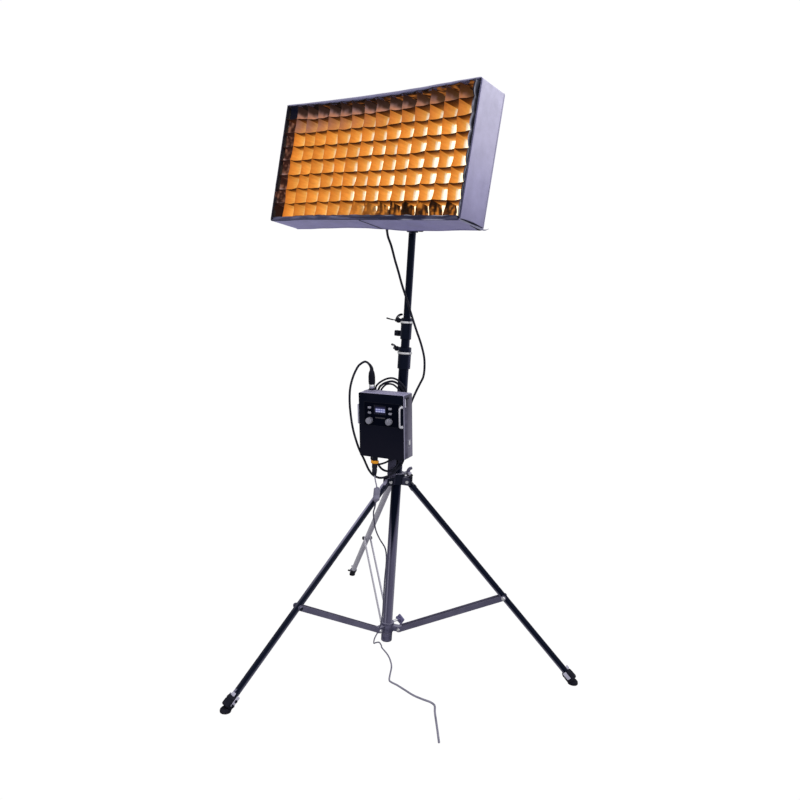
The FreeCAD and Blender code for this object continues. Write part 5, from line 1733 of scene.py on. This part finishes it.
# --------------------------------------------------------- softbox back
def corner_pocket(number, side, level, steps=8, stitches=9):
    """Triangular pocket at a back corner, with stitches along its slanted edge."""
    corner = (side * 338, 165 * level)
    inner = (side * 268, 165 * level)
    other = (side * 338, 95 * level)
    verts, faces, index = [], [], {}
    for a in range(steps + 1):
        for b in range(steps + 1 - a):
            u, v = a / steps, b / steps
            x = corner[0] + (inner[0] - corner[0]) * u + (other[0] - corner[0]) * v
            z = corner[1] + (inner[1] - corner[1]) * u + (other[1] - corner[1]) * v
            index[(a, b)] = len(verts)
            verts.append(Vector((x, 0.9 + 0.5 * rumple(x * 0.03, 1.0, z * 0.03), z)) * MM)
    for a in range(steps):
        for b in range(steps - a):
            faces.append((index[(a, b)], index[(a + 1, b)], index[(a, b + 1)]))
            if (a + 1, b + 1) in index:
                faces.append((index[(a + 1, b)], index[(a + 1, b + 1)], index[(a, b + 1)]))
    made = build("corner_pocket_%d" % number, verts, faces, WEBBING, PANEL)
    thicken(made, 1.4)
    attach(made, "panel")
    run = (other[0] - inner[0], other[1] - inner[1])
    half = Vector((run[0], 0, run[1])).normalized() * 2.6
    inset = Vector((side * 2.6, 0, level * 2.6))
    for i in range(stitches):
        share = (i + 0.5) / stitches
        spot = Vector((inner[0] + run[0] * share, 2.0, inner[1] + run[1] * share)) + inset
        ends = (spot - half, spot + Vector((0, 0.4, 0)), spot + half)
        tube("pocket_%d_stitch_%d" % (number, i + 1),
             spline([PANEL @ (point * MM) for point in ends], 3), 0.45, KEY, "panel", seg=6)


for i, (side, level) in enumerate(((-1, -1), (1, -1), (1, 1), (-1, 1))):
    corner_pocket(i + 1, side, level)

BLACK_WEB = (0.012, 0.012, 0.018)
WEB_CORNERS = [(-76, -58), (76, -58), (76, 58), (-76, 58)]
for i in range(4):
    (x0, z0), (x1, z1) = WEB_CORNERS[i], WEB_CORNERS[(i + 1) % 4]
    start, end = Vector((x0, 1.0, z0)), Vector((x1, 1.0, z1))
    overlap = (end - start).normalized() * 11
    stations = [(start - overlap).lerp(end + overlap, k / 6)
                + Vector((0, 0.5 * math.sin(k * 1.7 + i), 0)) for k in range(7)]
    web = ribbon("opening_web_%d" % (i + 1), stations, (0, 1, 0), 22.0, 1.6, BLACK_WEB, WEBBING)
for i, x in enumerate((-210, 210)):
    stations = [(x, 0.8, 168), (x - 1, 1.8, 90), (x + 1, 2.2, 0), (x, 1.8, -90),
                (x, 0.8, -168)]
    strap = ribbon("back_strap_%d" % (i + 1), stations, (0, 1, 0), 25.0, 1.6, BLACK_WEB,
                   WEBBING)
    for letter, z in (("a", 60), ("b", -60)):
        block("strap_buckle_%d_%s" % (i + 1, letter), (34, 3.4, 20), KNOB, PANEL, "panel",
              radius=1.4, at=(x, 3.6, z))

# ------------------------------------------------- the cloth box hangs slack
# (x, drop of the top edge) and (x, rise of the lower edge) at its front and back
TOP_DROP = [(-345, 4.6), (-250, 6.4), (-150, 7.4), (-50, 7.7), (60, 7.0), (150, 5.2),
            (230, 2.2), (290, 0.2), (345, -1.2)]
LOW_FRONT = [(-345, -4.8), (-290, -3.6), (-200, 0.0), (345, 0.0)]
LOW_BACK = [(-345, -3.4), (-290, -2.6), (-220, 0.0), (-120, 2.6), (-60, 2.4), (10, 0.0),
            (90, -3.6), (190, -2.8), (290, 0.0), (345, 0.0)]


def lookup(table, x):
    x = max(table[0][0], min(table[-1][0], x))
    for (low, low_value), (high, high_value) in zip(table, table[1:]):
        if x <= high:
            return low_value + (high_value - low_value) * ease(low, high, x)


def slack(point):
    """Shift in z of a point of the cloth, in mm in the panel's frame."""
    front = max(0.0, min(1.0, -point.y / DEPTH))
    upper = ease(10, 172, point.z) * -lookup(TOP_DROP, point.x) * (0.6 + 0.4 * front)
    low = lookup(LOW_FRONT, point.x) * front + lookup(LOW_BACK, point.x) * (1 - front)
    return upper + ease(-10, -172, point.z) * low


def in_panel_frame(made):
    return max(abs(made.matrix_world[row][column] - PANEL[row][column])
               for row in range(4) for column in range(4)) < 1e-5


bpy.context.view_layer.update()
TO_PANEL = PANEL.inverted()
for made in list(bpy.context.scene.objects):
    if made.type != 'MESH' or made.name in CAD_NAMES:
        continue
    if in_panel_frame(made):
        for v in made.data.vertices:
            v.co.z += slack(v.co / MM) * MM
    elif made.name.startswith("pocket_"):
        # the stitches are built in world coordinates
        for v in made.data.vertices:
            point = TO_PANEL @ v.co
            point.z += slack(point / MM) * MM
            v.co = PANEL @ point
    else:
        continue
    made.data.update()


# ------------------------------------------------------------------- stage
def floor_material():
    """Self-lit pale floor, brighter to the camera than to the other rays."""
    mat = Shader("floor_pale")
    rays = mat.node("LightPath")
    pale = mat.mottle((1.0, 0.995, 1.0, 1), (1.0, 1.0, 1.0, 1), scale=2.0, detail=2,
                      span=(0.3, 0.7))
    strength = mat.scaled(rays.outputs["Is Camera Ray"], by=0.62, plus=0.40)
    mat.set(Base_Color=(0.0, 0.0, 0.0, 1), Roughness=1.0, Specular_IOR_Level=0.0,
            Emission_Color=pale, Emission_Strength=strength)
    return mat.material


floor = build("floor", [(-9, -9, 0), (9, -9, 0), (9, 9, 0), (-9, 9, 0)], [(0, 1, 2, 3)],
              floor_material(), smooth=False)
floor.location.z = -0.0005


def build_world():
    """White studio, brighter from the upper right; the camera sees an even white."""
    world = bpy.data.worlds.new("studio")
    bpy.context.scene.world = world
    world.use_nodes = True
    nodes = Nodes(world.node_tree)
    output = nodes.node("OutputWorld")
    background = nodes.node("Background")
    nodes.feed(output.inputs[0], background.outputs[0])
    toward_light = nodes.dot(nodes.node("TexCoord").outputs["Generated"], (0.755, -0.20, 0.625))
    strength = nodes.remap(toward_light, (-0.6, 1.0), to=(0.50, 1.10))
    seen = nodes.node("Mix", data_type="FLOAT")
    nodes.feed(seen.inputs[0], nodes.node("LightPath").outputs["Is Camera Ray"])
    nodes.feed(seen.inputs[2], strength)
    nodes.feed(seen.inputs[3], 1.02)
    nodes.feed(background.inputs[1], seen.outputs[0])
    nodes.feed(background.inputs[0], (1.0, 0.995, 1.0, 1))


def area_light(name, place, target, size, power, colour):
    light = bpy.data.lights.new(name, "AREA")
    light.energy = power
    light.size = size
    light.color = colour
    made = bpy.data.objects.new(name, light)
    bpy.context.scene.collection.objects.link(made)
    made.location = place
    look = Vector(target) - Vector(place)
    made.rotation_euler = look.to_track_quat('-Z', 'Y').to_euler()


build_world()
area_light("key", place=(2.6, -1.6, 3.4), target=(0, 0, 1.0), size=1.6, power=22,
           colour=(1.0, 0.99, 1.0))

# ------------------------------------------------------------------ camera
CAMERA_AZIMUTH = math.radians(38.92)      # round from -Y towards +X
CAMERA_DISTANCE, CAMERA_HEIGHT = 2.2840, 1.1816     # metres from the Z axis and the floor
CAMERA_PITCH, CAMERA_ROLL = math.radians(-9.27), math.radians(3.64)
CAMERA_YAW = math.radians(0.13)           # turned aside from the Z axis


def build_camera():
    heading = CAMERA_AZIMUTH + CAMERA_YAW
    level = math.cos(CAMERA_PITCH)
    place = Vector((CAMERA_DISTANCE * math.sin(CAMERA_AZIMUTH),
                    -CAMERA_DISTANCE * math.cos(CAMERA_AZIMUTH), CAMERA_HEIGHT))
    ahead = Vector((-math.sin(heading) * level, math.cos(heading) * level,
                    math.sin(CAMERA_PITCH)))
    right = ahead.cross(Vector((0, 0, 1))).normalized()
    up = right.cross(ahead)
    cosine, sine = math.cos(CAMERA_ROLL), math.sin(CAMERA_ROLL)
    x_axis = right * cosine + up * sine
    y_axis = -right * sine + up * cosine
    lens = bpy.data.cameras.new("cam")
    lens.sensor_width = 36
    lens.sensor_fit = 'HORIZONTAL'
    lens.lens = 34.0857
    lens.clip_end = 60
    camera = bpy.data.objects.new("cam", lens)
    bpy.context.scene.collection.objects.link(camera)
    columns = Matrix((x_axis, y_axis, -ahead)).transposed().to_4x4()
    camera.matrix_world = Matrix.Translation(place) @ columns
    bpy.context.scene.camera = camera


build_camera()
bpy.context.scene.view_settings.view_transform = 'Standard'
